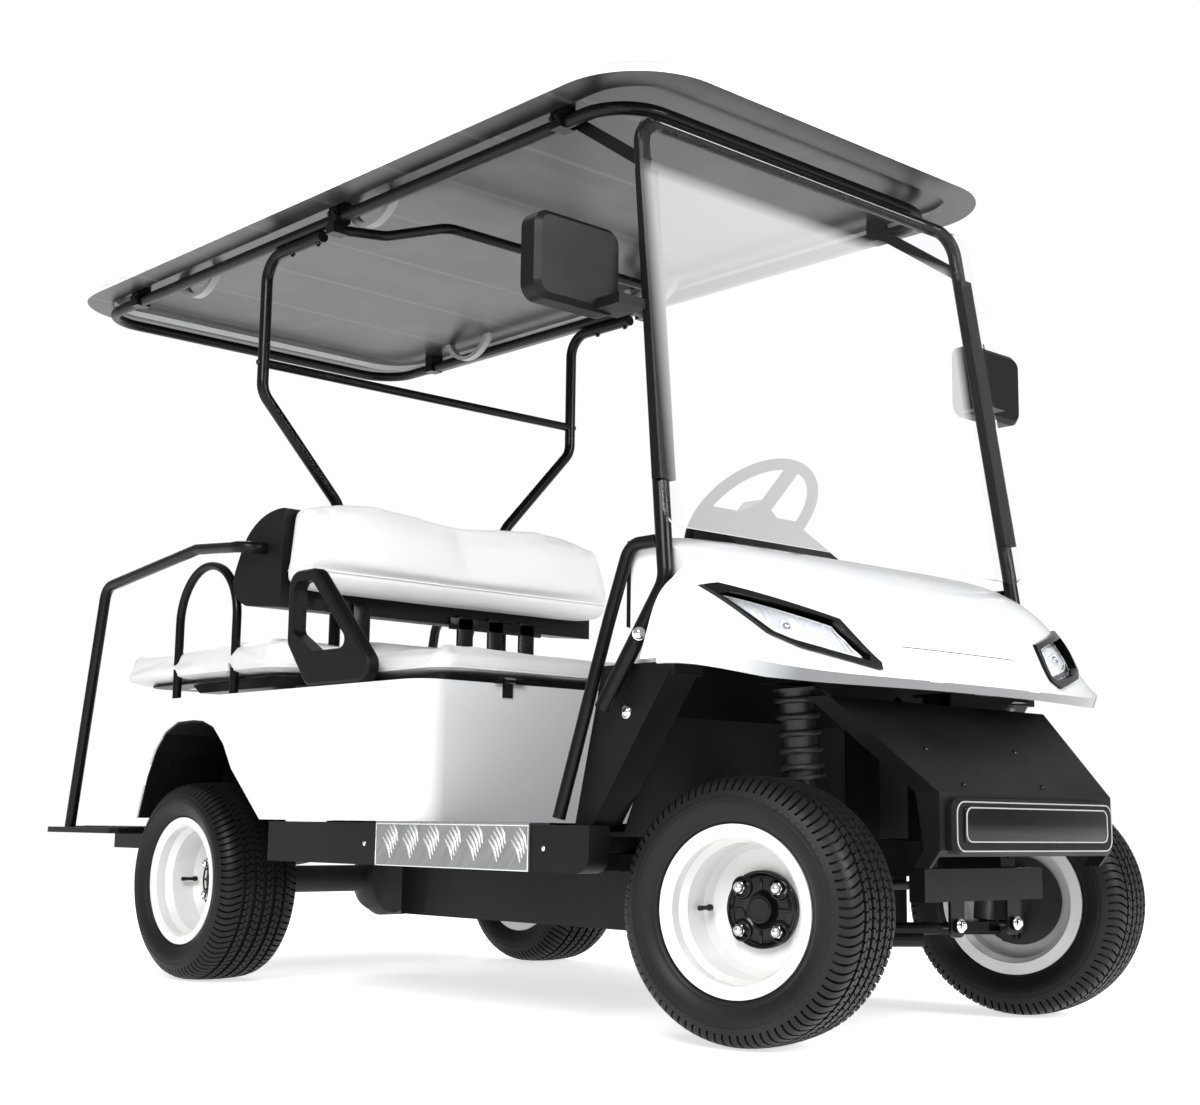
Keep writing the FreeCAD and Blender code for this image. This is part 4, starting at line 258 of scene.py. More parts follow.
def clear_sheet(name, tint, rough, painted_glow=0.0):
    """Acrylic or glass: faint wiping marks in its roughness, and where asked a painted white glow in its middle,
    stronger at a slant.
    """
    material, tree, shader = blank(name)
    mask = placed_group(tree, "grain", Scale=60.0, Patch=9.0)["Mask"]
    tone = mixed(tree, mask, tint, tuple(c * 0.985 for c in tint))
    if painted_glow:
        # Painted light: a white glow seen only by the camera, over a base colour drawn to black, stands in for a milky
        # haze.
        slant = add(tree, "LayerWeight").outputs["Facing"]
        glow_by_slant = ranged(tree, slant, high=0.5, start=painted_glow * 0.35, end=painted_glow)
        glow_mask = sums(tree, "MULTIPLY", glow_by_slant, placed_group(tree, "pane")["Mask"])
        tone = mixed(tree, glow_mask, tone, (0.0, 0.0, 0.0))
        camera_glow = sums(tree, "MULTIPLY", glow_mask, add(tree, "LightPath").outputs["Is Camera Ray"])
        join_all(tree, shader, {"Emission Strength": camera_glow, "Emission Color": (1, 1, 1, 1)})
    join_all(tree, shader, {"Base Color": tone, "Roughness": ranged(tree, mask, start=rough, end=rough * 2),
                            "Transmission Weight": 1.0, "IOR": 1.12})
    return material


def turned_down(tree, limit):
    """A mask that is one on every face turned to the ground by more than the limit. The cowl's and the roof's finishes
    paint shade where it is one.
    """
    return sums(tree, "LESS_THAN", part_of(tree, add(tree, "NewGeometry").outputs["Normal"], "Z"), -limit)


def repainted(material, mask, **seconds):
    """Mixes second colours or numbers into what a finish's shader already has, where a mask of its tree is one."""
    tree = material.node_tree
    for label, second in seconds.items():
        socket = tree.nodes["Principled BSDF"].inputs[label.replace("_", " ")]
        kind = "RGBA" if socket.type == "RGBA" else "FLOAT"
        join(tree, mixed(tree, mask, socket.links[0].from_socket, second, kind), socket)
    return material


def lip_material(paint, lip):
    """Gloss body paint with a band of painted shade, dark grey where the moulding turns under, greyer towards the nose.
    """
    material = finish("Cowl paint", paint, **GLOSS_PAINT)
    tree = material.node_tree
    size = sums(tree, "ABSOLUTE", part_of(tree, own_place(tree), "X"))
    painted_shade_band = sums(tree, "MULTIPLY", turned_down(tree, 0.22), ranged(tree, size, 0.62, 0.45))
    return repainted(material, painted_shade_band, Base_Color=lip)


def roof_material(white, smoke_and_shade):
    """Gloss white above; on every face turned to the ground a dark smoked sheet with faint joint lines, its near-black
    colour partly painted shade.
    """
    material = finish("Roof sheet", white, 0.22, grain=40.0, bump=0.03, vary=0.97)
    tree = material.node_tree
    spot = own_place(tree)
    bands = add(tree, "TexWave", {"Vector": spot, "Scale": 1.15, "Distortion": 0.0}, bands_direction="Y")
    joints = ranged(tree, bands.outputs["Fac"], 0.985, 1.0)
    clouds = ranged(tree, noisy(tree, spot, 2.6, 3.0, warp=1.2), 0.46, 0.56)
    smoke_and_shade_tone = mixed(tree, clouds, smoke_and_shade, tuple(c * 2.4 for c in smoke_and_shade))
    under = mixed(tree, joints, smoke_and_shade_tone, tuple(c * 5.0 for c in smoke_and_shade))
    return repainted(material, turned_down(tree, 0.2), Base_Color=under, Roughness=0.3)


GLOSS_PAINT = {"rough": 0.2, "coat": 0.7, "grain": 160.0, "bump": 0.025, "vary": 0.975, "dust": 0.05}
FLOOR_GLOW = 0.68
MATERIALS = {}


def make_materials():
    """Makes every finish from the panel's colours."""
    look = bpy.context.scene.cart_finish
    body, vinyl, black, enamel = (tuple(c) for c in (look.body, look.vinyl, look.plastic, look.enamel))
    MATERIALS.update(
        body=finish("Body paint", body, **GLOSS_PAINT),
        # The cowl's dark grey is painted shade on the faces of its lip turned to the ground.
        cowl=lip_material(body, (0.13, 0.133, 0.137)),
        # The roof's near-black underside is partly a smoked sheet and partly painted shade.
        roof=roof_material(body, (0.011, 0.0115, 0.012)),
        plastic=finish("Textured black plastic", tuple(c * 1.5 for c in black), 0.42, grain=900.0, bump=0.25,
                       depth=0.0003, dust=0.02, reach=0.6, level=0.17),
        gloss=finish("Gloss black plastic", black, 0.2, coat=0.2, bump=0.05, dust=0.01, level=0.2),
        frame=finish("Black powder coat", tuple(c * 1.2 for c in black), 0.28, coat=0.06, grain=1100.0, bump=0.12,
                     depth=0.0002, dust=0.02, level=0.16),
        steel=finish("Dull steel", (0.05, 0.05, 0.052), 0.45, metal=0.7, grain=700.0, bump=0.2, dust=0.2),
        casting=finish("Grey casting", (0.03, 0.03, 0.032), 0.6, metal=0.4, grain=500.0, bump=0.5, depth=0.0008,
                       dust=0.25),
        plated=finish("Plated steel", (0.62, 0.62, 0.63), 0.22, metal=1.0, bump=0.05, dust=0.05),
        chrome=finish("Chrome", (0.85, 0.85, 0.86), 0.07, metal=1.0, grain=120.0, bump=0.02, vary=0.95),
        tread=finish("Brushed tread plate", (0.42, 0.425, 0.43), 0.36, metal=0.75, grain=150.0, texture="brushed",
                     bump=0.3, depth=0.0003, vary=0.4, dust=0.1),
        bars=finish("Worn bright bars", (0.86, 0.865, 0.87), 0.25, metal=0.6, grain=500.0),
        vinyl=finish("Seat vinyl", vinyl, 0.42, texture="leather", grain=330.0, bump=0.16, depth=0.0005,
                     vary=0.96),
        rubber=finish("Tyre rubber", (0.008, 0.008, 0.0083), 0.5, grain=420.0, bump=0.3, depth=0.0005, vary=0.6,
                      dust=0.12, dust_colour=(0.06, 0.058, 0.054), level=0.24),
        enamel=finish("Rim enamel", enamel, 0.24, coat=0.5, grain=120.0, bump=0.04, vary=0.95, dust=0.05),
        reflector=finish("Lamp reflector", (0.93, 0.93, 0.94), 0.2, metal=0.45, grain=200.0, bump=0.05, vary=0.92),
        mirror=finish("Mirror glass", (0.8, 0.82, 0.83), 0.03, metal=1.0, grain=30.0, bump=0.0, vary=0.97),
        grey_plastic=finish("Light grey plastic", (0.34, 0.345, 0.35), 0.4, grain=700.0, bump=0.2, vary=0.9),
        plate_white=finish("Badge plate", (0.85, 0.86, 0.87), 0.3, coat=0.3, bump=0.03, vary=0.98),
        lens=clear_sheet("Lamp lens", (0.95, 0.97, 1.0), 0.03),
        # 0.72 sets the strength of the windshield's painted white glow.
        sheet=clear_sheet("Windshield sheet", (0.97, 0.98, 0.99), 0.02, 0.72),
        floor=finish("Studio floor", (0.86, 0.86, 0.86), 0.7, grain=40.0, bump=0.0, vary=0.985, patch=0.5),
    )
    floor = MATERIALS["floor"].node_tree
    join_all(floor, floor.nodes["Principled BSDF"], {"Emission Color": (1, 1, 1, 1), "Emission Strength": FLOOR_GLOW})


NODE_FINISH = {
    "body": ("rear_body",), "cowl": ("front_cowl",), "roof": ("roof_canopy", "roof_lip"),
    "vinyl": ("front_seat_cushion", "front_back_cushion", "rear_back_cushion", "rear_seat_cushion"),
    "plastic": ("floor_pan", "rockers", "front_apron", "side_panels", "dash", "rear_liners", "seat_board",
                "hip_restraints", "seat_back_shell", "rear_seat_pan", "windshield_channels", "mirrors",
                "steering_column", "steering_wheel", "pedals", "battery_pack"),
    "frame": ("footrest", "chassis_frame", "lower_arms", "battery_cradle", "door_trims", "grab_rails", "handrail_hoops",
              "roof_frame", "overhead_tube", "rear_struts", "windshield_frame"),
    "gloss": ("headlight_housings", "front_left_cap", "front_right_cap", "rear_left_cap", "rear_right_cap"),
    "steel": ("front_struts", "rear_springs", "tie_rod"), "casting": ("rear_axle", "knuckle_left", "knuckle_right"),
    "plated": ("seat_hinges",), "grey_plastic": ("grab_hooks",), "tread": ("tread_plates",),
    "lens": ("headlight_lenses",),
    "sheet": ("windshield_glass",), "rubber": tuple(w + "_tyre" for w in WHEELS),
    "enamel": tuple(w + "_rim" for w in WHEELS),
}


# Shared ways of making a piece
def meshed(name, part):
    """A mesh of a part, which is freed."""
    mesh = bpy.data.meshes.new(name)
    part.to_mesh(mesh)
    part.free()
    return mesh


def gather(target, part, *matrices):
    """Adds a part to the target once for each place, and frees it."""
    carrier = meshed("carrier", part)
    for matrix in matrices or (Matrix.Identity(4),):
        copy = carrier.copy()
        copy.transform(matrix)
        if matrix.determinant() < 0:
            copy.flip_normals()
        target.from_mesh(copy)
        bpy.data.meshes.remove(copy)
    bpy.data.meshes.remove(carrier)


def turned(profile, steps):
    """Spins an outline of (along, radius) places, in millimetres, round the X axis."""
    part = bmesh.new()
    verts = [part.verts.new((x * MM, 0, r * MM)) for x, r in profile]
    edges = [part.edges.new(pair) for pair in zip(verts, verts[1:])]
    bmesh.ops.spin(part, geom=verts + edges, cent=(0, 0, 0), axis=(1, 0, 0), dvec=(0, 0, 0), angle=math.tau,
                   steps=steps, use_merge=True, use_duplicate=False)
    bmesh.ops.remove_doubles(part, verts=part.verts, dist=WELD)
    bmesh.ops.recalc_face_normals(part, faces=part.faces)
    return part


def rounded(part, offset, segments=2):
    """Rounds every edge of a part by an offset in millimetres."""
    bmesh.ops.bevel(part, geom=part.edges[:], offset=offset * MM, segments=segments, profile=0.5, material=-1,
                    affect="EDGES", clamp_overlap=True)
    return part


def block(size, bevel, segments=2):
    """A box of (x, y, z) millimetres about its middle, with rounded edges."""
    part = bmesh.new()
    bmesh.ops.create_cube(part, size=MM)
    bmesh.ops.scale(part, vec=size, verts=part.verts)
    return rounded(part, bevel, segments)


def round_bar(radius, length, sides):
    """A closed cylinder standing on the origin along Z, in millimetres."""
    part = bmesh.new()
    bmesh.ops.create_cone(part, cap_ends=True, segments=sides, radius1=radius * MM, radius2=radius * MM,
                          depth=length * MM)
    bmesh.ops.translate(part, vec=(0, 0, length * MM / 2), verts=part.verts)
    return part


def ball(rings, segments, half=None):
    """A ball of radius 1 about the origin, or one drawn out to half axes in millimetres."""
    part = bmesh.new()
    bmesh.ops.create_uvsphere(part, u_segments=segments, v_segments=rings, radius=1.0)
    if half:
        bmesh.ops.scale(part, vec=Vector(half) * MM, verts=part.verts)
    return part


def all_of(part):
    return part.verts[:] + part.edges[:] + part.faces[:]


def faced(part, axis, sign):
    """Turns an open sheet's faces to one side: along the axis, towards its positive or negative end."""
    bmesh.ops.recalc_face_normals(part, faces=part.faces)
    if sum(face.normal[axis] for face in part.faces) * sign < 0:
        bmesh.ops.reverse_faces(part, faces=part.faces)
    return part


def at(x=0.0, y=0.0, z=0.0):
    """A move by millimetres."""
    return Matrix.Translation(Vector((x, y, z)) * MM)


def along(direction, spot, roll=0.0):
    """The matrix that carries +Z to the direction and the origin to the spot."""
    turn = Vector(direction).to_track_quat("Z", "Y").to_matrix().to_4x4()
    return Matrix.Translation(spot) @ turn @ Matrix.Rotation(roll, 4, "Z")


def linked(name, data):
    """A new object in the scene."""
    made = bpy.data.objects.new(name, data)
    bpy.context.scene.collection.objects.link(made)
    return made


def new_piece(name, part, material, body, sharp=35.0):
    """A finished object at the origin, riding on one body of the frame."""
    mesh = meshed(name, part)
    mesh.shade_smooth()
    mesh.set_sharp_from_angle(angle=math.radians(sharp))
    mesh.materials.append(MATERIALS[material])
    piece = linked(name, mesh)
    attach(piece, body)
    return piece


def wheel_piece(wheel, name, part, material, sharp=35.0):
    """A finished piece of one wheel, from a part drawn round X with its outboard side towards +X."""
    joint = JOINTS[wheel + "_spin"]
    out = Vector(joint["axis"]).normalized()
    if joint["pos_m"][0] * out.x < 0:
        out = -out
    upward = Vector((0, 0, 1))
    turn = Matrix((out, upward.cross(out), upward)).transposed().to_4x4()
    part.transform(Matrix.Translation(joint["pos_m"]) @ turn)
    return new_piece(f"{wheel}_{name}", part, material, wheel + "_wheel", sharp)


class CART_OT_frame(bpy.types.Operator):
    """Gives every carried-over solid its finish"""
    bl_idname = "cart.frame"
    bl_label = "Finish the frame"

    def execute(self, context):
        make_materials()
        for finish_name, names in NODE_FINISH.items():
            for name in names:
                mesh = frame["nodes"][name].data
                mesh.materials.clear()
                mesh.materials.append(MATERIALS[finish_name])
        return {"FINISHED"}


# Tyres
TREAD_LINE = ((0, 226), (25, 225.6), (50, 224.2), (66, 222.4), (77, 219.6), (86, 214.8), (92.5, 207.5), (97, 199))
TREAD_PITCHES = 88
TREAD_DEPTH = 7.5
TREAD_STEPS = (112, 102, 94, 84, 72, 56, 50, 30, 26, 3)
# Each block: where it starts and ends across the tread, the groove to the next one, its bow, slant and cells
TREAD_BLOCKS = ((56, 119, 4.6, 8.0, 6.0, 6), (31, 38.8, 3.4, -1.2, -3.0, 2), (40, 47.8, 3.4, 1.2, 3.0, 2),
                (5, 12.6, 3.4, 1.0, 3.5, 2), (13.6, 21.2, 3.4, -1.0, -3.5, 2))
TYRE_WALL = ((80.5, 129), (80.5, 144.6), (84, 146.2), (88.5, 148.6), (90.5, 152.4), (92, 153.2), (96, 159.5),
             (100.2, 168), (102.2, 177), (102.3, 181), (101.6, 182.2), (101.8, 187), (100.4, 193.5), (97.5, 199.2))


def tread_place(across, depth=0.0):
    """Where the tread's surface is at a distance across it from the middle line, as (x, radius)."""
    side = math.copysign(1, across)
    left = abs(across)
    for (x0, r0), (x1, r1) in zip(TREAD_LINE, TREAD_LINE[1:]):
        length = math.hypot(x1 - x0, r1 - r0)
        if left <= length or (x1, r1) == TREAD_LINE[-1]:
            share = left / length
            normal = Vector((r0 - r1, x1 - x0)) / length
            x = x0 + (x1 - x0) * share - normal.x * depth
            return side * x, r0 + (r1 - r0) * share - normal.y * depth
        left -= length


def tread_block(start, end, width, bend, tilt, cells):
    """One rubber block between two distances across the tread, curved along its length, with walls to the groove."""
    part = bmesh.new()
    bmesh.ops.create_grid(part, x_segments=cells, y_segments=1, size=0.5)
    spots = {v: (v.co.x + 0.5, v.co.y) for v in part.verts}
    edge = [e for e in part.edges if e.is_boundary]
    made = bmesh.ops.extrude_edge_only(part, edges=edge)
    deep = [v for v in made["geom"] if isinstance(v, bmesh.types.BMVert)]
    for v in deep:
        spots[v] = (v.co.x + 0.5, v.co.y * 1.12)
    for v, (u, w) in spots.items():
        across = start + (end - start) * u
        shift = w * width + bend * math.sin(math.pi * u) + tilt * u
        x, r = tread_place(across, TREAD_DEPTH + 0.5 if v in deep else 0.0)
        angle = shift / TREAD_LINE[0][1]
        v.co = (x * MM, r * math.sin(angle) * MM, r * math.cos(angle) * MM)
    return faced(part, 2, 1)


def tyre_mesh():
    """The carcass with its smooth sidewalls, then one pitch of tread repeated round it."""
    tread = bmesh.new()
    pitch = math.tau * TREAD_LINE[0][1] / TREAD_PITCHES
    for side in (-1, 1):
        for start, end, groove_width, bend, tilt, cells in TREAD_BLOCKS:
            gather(tread, tread_block(side * start, side * end, pitch - groove_width, bend, tilt, cells))
    bmesh.ops.spin(tread, geom=all_of(tread), cent=(0, 0, 0), axis=(1, 0, 0), dvec=(0, 0, 0), use_duplicate=True,
                   angle=math.tau * (TREAD_PITCHES - 1) / TREAD_PITCHES, steps=TREAD_PITCHES - 1)
    half = [*TYRE_WALL, *(tread_place(step, TREAD_DEPTH) for step in TREAD_STEPS)]
    profile = half + [(0, TREAD_LINE[0][1] - TREAD_DEPTH)] + [(-x, r) for x, r in half[::-1]]
    gather(tread, turned(profile, 144))
    return tread


class CART_OT_tyres(bpy.types.Operator):
    """Adds the four tyres with their street tread"""
    bl_idname = "cart.tyres"
    bl_label = "Add the tyres"

    def execute(self, context):
        for wheel in WHEELS:
            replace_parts(wheel_piece(wheel, "tread_tyre", tyre_mesh(), "rubber", 30.0), wheel + "_tyre")
        return {"FINISHED"}


# Wheel fittings: outlines of (outboard, radius), and bars of radius, length, sides and start
CAP_FACE = -10.7
NUTS = 4
NUT_CIRCLE = 50.8
NUT_DOME = ((13.5, 9.4), (17.5, 8.8), (20.5, 6.6), (22, 3.6), (22.5, 0))
NUT_CUP = ((0.2, 15.2), (3.4, 15.0), (4.4, 16.0), (4.2, 18.2), (2.6, 19.4), (0.2, 20.0))
CAP_BOSS = ((6.8, 22.0), (8.2, 21.4), (8.6, 19.6), (7.4, 18.6), (7.2, 0))
CAP_RIM = ((-0.4, 66.0), (1.6, 65.6), (2.4, 63.6), (1.8, 61.4), (-0.4, 60.4))
VALVE_BARS = ((5.6, 8.0, 20, 0), (3.9, 30.0, 20, 6.0), (4.6, 9.0, 12, 30.0))


class CART_OT_wheel_fittings(bpy.types.Operator):
    """Adds the wheel nuts, the hub cap's raised forms and the valve stems"""
    bl_idname = "cart.wheel_fittings"
    bl_label = "Add the wheel fittings"

    def execute(self, context):
        outward = Matrix.Rotation(math.pi / 2, 4, "Y")
        for wheel in WHEELS:
            nuts = bmesh.new()
            trim = bmesh.new()
            for i in range(NUTS):
                angle = math.tau * (i + 0.5) / NUTS
                seat = at(CAP_FACE, NUT_CIRCLE * math.cos(angle), NUT_CIRCLE * math.sin(angle))
                gather(nuts, rounded(round_bar(11.4, 14.0, 6), 0.8), seat @ outward)
                gather(nuts, turned(NUT_DOME, 20), seat)
                gather(trim, turned(NUT_CUP, 32), seat)
                gather(trim, block((4.0, 7.0, 24.0), 1.6),
                       Matrix.Rotation(-angle - math.pi / NUTS, 4, "X") @ at(CAP_FACE, 0, 45))
            for outline, steps in ((CAP_BOSS, 48), (CAP_RIM, 64)):
                gather(trim, turned(outline, steps), at(CAP_FACE))
            valve = bmesh.new()
            for radius, length, sides, start in VALVE_BARS:
                gather(valve, round_bar(radius, length, sides), at(z=start))
            side = -1 if "right" in wheel else 1
            valve.transform(at(-12, side * 99) @ outward)
            wheel_piece(wheel, "nuts", nuts, "chrome")
            wheel_piece(wheel, "cap_form", trim, "gloss")
            wheel_piece(wheel, "valve", valve, "rubber")
        return {"FINISHED"}


# Cushions, in metres
CUSHION_CELL = 0.010
COVER = {"use_pressure": True, "uniform_pressure_force": 4.0, "vertex_group_mass": "held", "tension_stiffness": 12,
         "compression_stiffness": 12, "bending_stiffness": 1.5}
FRAMES = 18
PIPING = 2.4  # millimetres


def cad_part(node):
    """The faces of a CAD node where they stand."""
    part = bmesh.new()
    part.from_mesh(frame["nodes"][node].data)
    part.transform(frame["nodes"][node].matrix_world)
    return part


def cad_copy(node, inset):
    """A merged copy of a CAD cushion, drawn in from every side by the inset in metres."""
    source = cad_part(node)
    bmesh.ops.remove_doubles(source, verts=source.verts, dist=1e-5)
    low = Vector(map(min, zip(*(v.co for v in source.verts))))
    high = Vector(map(max, zip(*(v.co for v in source.verts))))
    middle = (low + high) / 2
    scale = Vector((1 - 2 * inset / (high[i] - low[i])) for i in range(3))
    for v in source.verts:
        v.co = middle + Vector((v.co[i] - middle[i]) * scale[i] for i in range(3))
    return meshed(node + "_form", source)


def evaluated(piece):
    """The piece's mesh as its modifiers leave it."""
    graph = bpy.context.evaluated_depsgraph_get()
    graph.update()
    return bpy.data.meshes.new_from_object(piece.evaluated_get(graph), depsgraph=graph)


def piped(points, radius, closed=True):
    """A round bead, its radius in millimetres, swept along a path of places in metres."""
    path = bpy.data.curves.new("bead", "CURVE")
    path.dimensions = "3D"
    path.bevel_depth = radius * MM
    path.bevel_resolution = 2
    path.use_fill_caps = not closed
    spline = path.splines.new("POLY")
    spline.points.add(len(points) - 1)
    for point, spot in zip(spline.points, points):
        point.co = (*spot, 1.0)
    spline.use_cyclic_u = closed
    holder = linked("bead", path)
    mesh = evaluated(holder)
    bead = bmesh.new()
    bead.from_mesh(mesh)
    bpy.data.objects.remove(holder)
    bpy.data.curves.remove(path)
    bpy.data.meshes.remove(mesh)
    bmesh.ops.remove_doubles(bead, verts=bead.verts, dist=WELD)
    bmesh.ops.recalc_face_normals(bead, faces=bead.faces)
    return bead


def longest_chain(edges):
    """The longest run of joined edges, as places in order, without its last place where it closes."""
    left = set(edges)
    chains = []
    for edge in edges:
        if edge not in left:
            continue
        left.discard(edge)
        chain = [edge.verts[0], edge.verts[1]]
        while True:
            following = next((e for e in chain[-1].link_edges if e in left), None)
            if following is None:
                break
            left.discard(following)
            chain.append(following.other_vert(chain[-1]))
        chains.append([v.co.copy() for v in chain])
    chain = max(chains, key=len)
    return chain[:-1] if (chain[0] - chain[-1]).length < WELD else chain


def cut_loop(piece, height):
    """The longest closed loop where a level plane crosses a piece, as places in order."""
    source = bmesh.new()
    source.from_mesh(piece.data)
    made = bmesh.ops.bisect_plane(source, geom=all_of(source), plane_co=(0, 0, height), plane_no=(0, 0, 1))
    loop = longest_chain([e for e in made["geom_cut"] if isinstance(e, bmesh.types.BMEdge)])
    source.free()
    return loop


def skin_of(*nodes):
    """A search tree over the faces of some CAD nodes where they stand."""
    whole = bmesh.new()
    for name in nodes:
        gather(whole, cad_part(name))
    tree = BVHTree.FromBMesh(whole)
    whole.free()
    return tree


def seen_ahead(skin, x, z):
    """Where a look from in front meets a skin at x and z in metres, and the skin's normal there."""
    return skin.ray_cast(Vector((x, AHEAD, z)), BACKWARDS)[:2]


def swollen(name, node, inset, cap, held):
    """A cover filled until it is taut: the CAD form remeshed and blown up as cloth, its seams held."""
    scene = bpy.context.scene
    piece = linked(name, cad_copy(node, inset))
    remesh = piece.modifiers.new("cells", "REMESH")
    remesh.mode = "VOXEL"
    remesh.voxel_size = CUSHION_CELL * 1
    cells = evaluated(piece)
    piece.modifiers.clear()
    piece.data = cells
    start = [v.co.copy() for v in cells.vertices]
    pins = piece.vertex_groups.new(name="held")
    for vertex in cells.vertices:
        if held(vertex.co):
            pins.add([vertex.index], 1.0, "REPLACE")
    cloth = piece.modifiers.new("cover", "CLOTH")
    for key, value in COVER.items():
        setattr(cloth.settings, key, value)
    cloth.settings.effector_weights.gravity = 0
    cloth.collision_settings.use_collision = False
    cloth.point_cache.frame_start = 1
    cloth.point_cache.frame_end = FRAMES
    for step in range(1, FRAMES + 1):
        scene.frame_set(step)
    cover = evaluated(piece)
    piece.modifiers.clear()
    piece.data = cover
    for vertex, before in zip(cover.vertices, start):
        moved = vertex.co - before
        if moved.length > cap:
            vertex.co = before + moved.normalized() * cap
    scene.frame_set(1)
    return piece


def finished_cushion(piece, node, body, shape):
    cover = bmesh.new()
    cover.from_mesh(piece.data)
    for _ in range(2):
        bmesh.ops.smooth_vert(cover, verts=cover.verts, factor=0.5, use_axis_x=True, use_axis_y=True, use_axis_z=True)
    cover.normal_update()
    moves = [(v, v.normal * shape(v.co, v.normal)) for v in cover.verts]
    for v, move in moves:
        v.co += move
    bmesh.ops.subdivide_edges(cover, edges=cover.edges[:], cuts=1, use_grid_fill=True, smooth=0.6)
    bmesh.ops.recalc_face_normals(cover, faces=cover.faces)
    cover.to_mesh(piece.data)
    cover.free()
    piece.data.shade_smooth()
    piece.vertex_groups.clear()
    piece.data.materials.clear()
    piece.data.materials.append(MATERIALS["vinyl"])
    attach(piece, body)
    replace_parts(piece, node)


def pleats(co, along_axis, spacing, depth):
    """Shallow puckers of uneven length and depth, at a place along one axis."""
    spot = co[along_axis] / spacing
    cell = math.floor(spot)
    offset = noise.noise(Vector((cell * 3.1, 7.7, co[2] * 4.0)))
    width = 0.5 + 0.35 * noise.noise(Vector((cell * 1.7, 2.3, 0.0)))
    return depth * (0.5 + offset) * math.cos((spot - cell - 0.5) * math.tau * width)


def groove(distance, depth, width):
    """How far a seam draws the cover in at a distance from its line."""
    return -depth * math.exp(-(distance / width) ** 2)


def girth(co, normal):
    """A measure that runs along a cushion's sides, whichever way they face."""
    return co.x * abs(normal.y) + co.y * abs(normal.x)


def cushion(name, node, body, inset, cap, seam, held, shape):
    """A filled and shaped cover with a piping laid round it at the height of its seam."""
    piece = swollen(name, node, inset, cap, held)
    finished_cushion(piece, node, body, shape)
    loop = cut_loop(piece, seam)
    for _ in range(3):
        loop = [(before + here * 2 + after) / 4
                for before, here, after in zip(loop[-1:] + loop[:-1], loop, loop[1:] + loop[:1])]
    new_piece(name + "_piping", piped(loop[::2], PIPING), "vinyl", body, 60.0)


class CART_OT_cushions(bpy.types.Operator):
    """Fills the four seat and back cushions and sews their seams"""
    bl_idname = "cart.cushions"
    bl_label = "Add the cushions"

    def execute(self, context):
        def seat(name, node, body, depth, spacing):
            low_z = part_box(node)[0].z
            seam = low_z + 0.016

            def held(co):
                return abs(co.z - seam) < 0.006 or co.z - low_z < 0.004

            def shape(co, normal):
                side = max(0.0, 1.0 - abs(normal.z) * 1.2)
                fade = math.exp(-max(0.0, co.z - seam) / 0.022)
                patch = max(0.0, noise.noise(Vector((co.x * 5.0, co.y * 5.0, 3.0))) + 0.35)
                wrinkle = pleats(Vector((girth(co, normal), 0, co.z)), 0, spacing, depth) * fade * side * patch
                broad = 0.0022 * noise.noise(co * 9.0) * (1.0 - side * 0.5)
                return groove(co.z - seam, 0.0025, 0.006) * side + wrinkle + broad

            cushion(name, node, body, 0.006, 0.014, seam, held, shape)

        seat("front_seat_cover", "front_seat_cushion", "front_seat", 0.0028, 0.021)
        seat("rear_seat_cover", "rear_seat_cushion", "cart", 0.0042, 0.026)

        def back(name, node, inset, cap, seam_rise, forward, bulge, valley):
            low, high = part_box(node)
            seam = low.z + seam_rise
            half = high.x

            def held(co):
                return abs(co.z - seam) < 0.005

            def shape(co, normal):
                faces = max(0.0, normal.y * forward)
                share = min(1.0, abs(co.x) / half)
                lobe = math.sin(math.pi * share) ** 2
                rise = min(1.0, max(0.0, (co.z - seam) / (high.z - seam)))
                swell = bulge * lobe * faces * math.sin(math.pi * min(1.0, rise * 0.9 + 0.1))
                dip = groove(co.x, valley * rise, 0.045) * faces
                folds = 0.0014 * noise.noise(Vector((co.x * 14.0, co.y * 14.0, co.z * 9.0))) * (0.4 + 0.6 * faces)
                return swell + dip + folds + groove(co.z - seam, 0.003, 0.006) * faces

            cushion(name, node, "cart", inset, cap, seam, held, shape)

        back("front_back_cover", "front_back_cushion", 0.008, 0.016, 0.048, -1, 0.010, 0.012)
        back("rear_back_cover", "rear_back_cushion", 0.004, 0.010, 0.030, 1, 0.006, 0.004)
        return {"FINISHED"}


FASTENED = ("windshield_frame", "door_trims", "side_panels", "rockers", "roof_frame", "rear_struts", "front_apron",
            "chassis_frame", "handrail_hoops", "seat_back_shell", "grab_rails", "footrest", "rear_body",
            "overhead_tube")
INWARD, REARWARD, UPWARD = (1, 0, 0), (0, 1, 0), (0, 0, 1)
# Each fastener: start of the look (x, aft, z), direction of the look, kind, size, on both sides or not
BRIGHT_FASTENERS = (
    ((-760, 100, 686), INWARD, "dome", 9.5, True), ((-760, 186, 563), INWARD, "dome", 9.5, True),
    ((-760, 345, 322), INWARD, "screw", 5.0, True), ((-760, 900, 322), INWARD, "screw", 5.0, True),
    ((-85, -700, 198), REARWARD, "hex", 8.5, True))
DARK_FASTENERS = (
    *(((-760, aft, 1752), INWARD, "hex", 6.0, True) for aft in (432, 448, 1216, 1232, 2162, 2178)),
    *(((-494, aft, 1600), UPWARD, "hex", 5.5, True) for aft in (1310, 1420)),
    ((-760, 1529, 1456), INWARD, "dome", 6.5, True),
    *(((x, -700, z), REARWARD, "screw", 5.0, False) for x, z in ((-186, 503), (86, 506), (-172, 441), (66, 442))),
    *(((x, 900, 874), REARWARD, "screw", 6.0, False) for x in (-404, 80)))
# Outlines of (along, radius) as shares of the head's size
HEX_POINT = ((0.8, 0.5), (1.1, 0.47), (1.15, 0.4), (1.15, 0))
SCREW_HEAD = ((0.3, 0.96), (0.55, 0.72), (0.66, 0.36), (0.45, 0.3), (0.42, 0))
DOME_RISE = 0.62


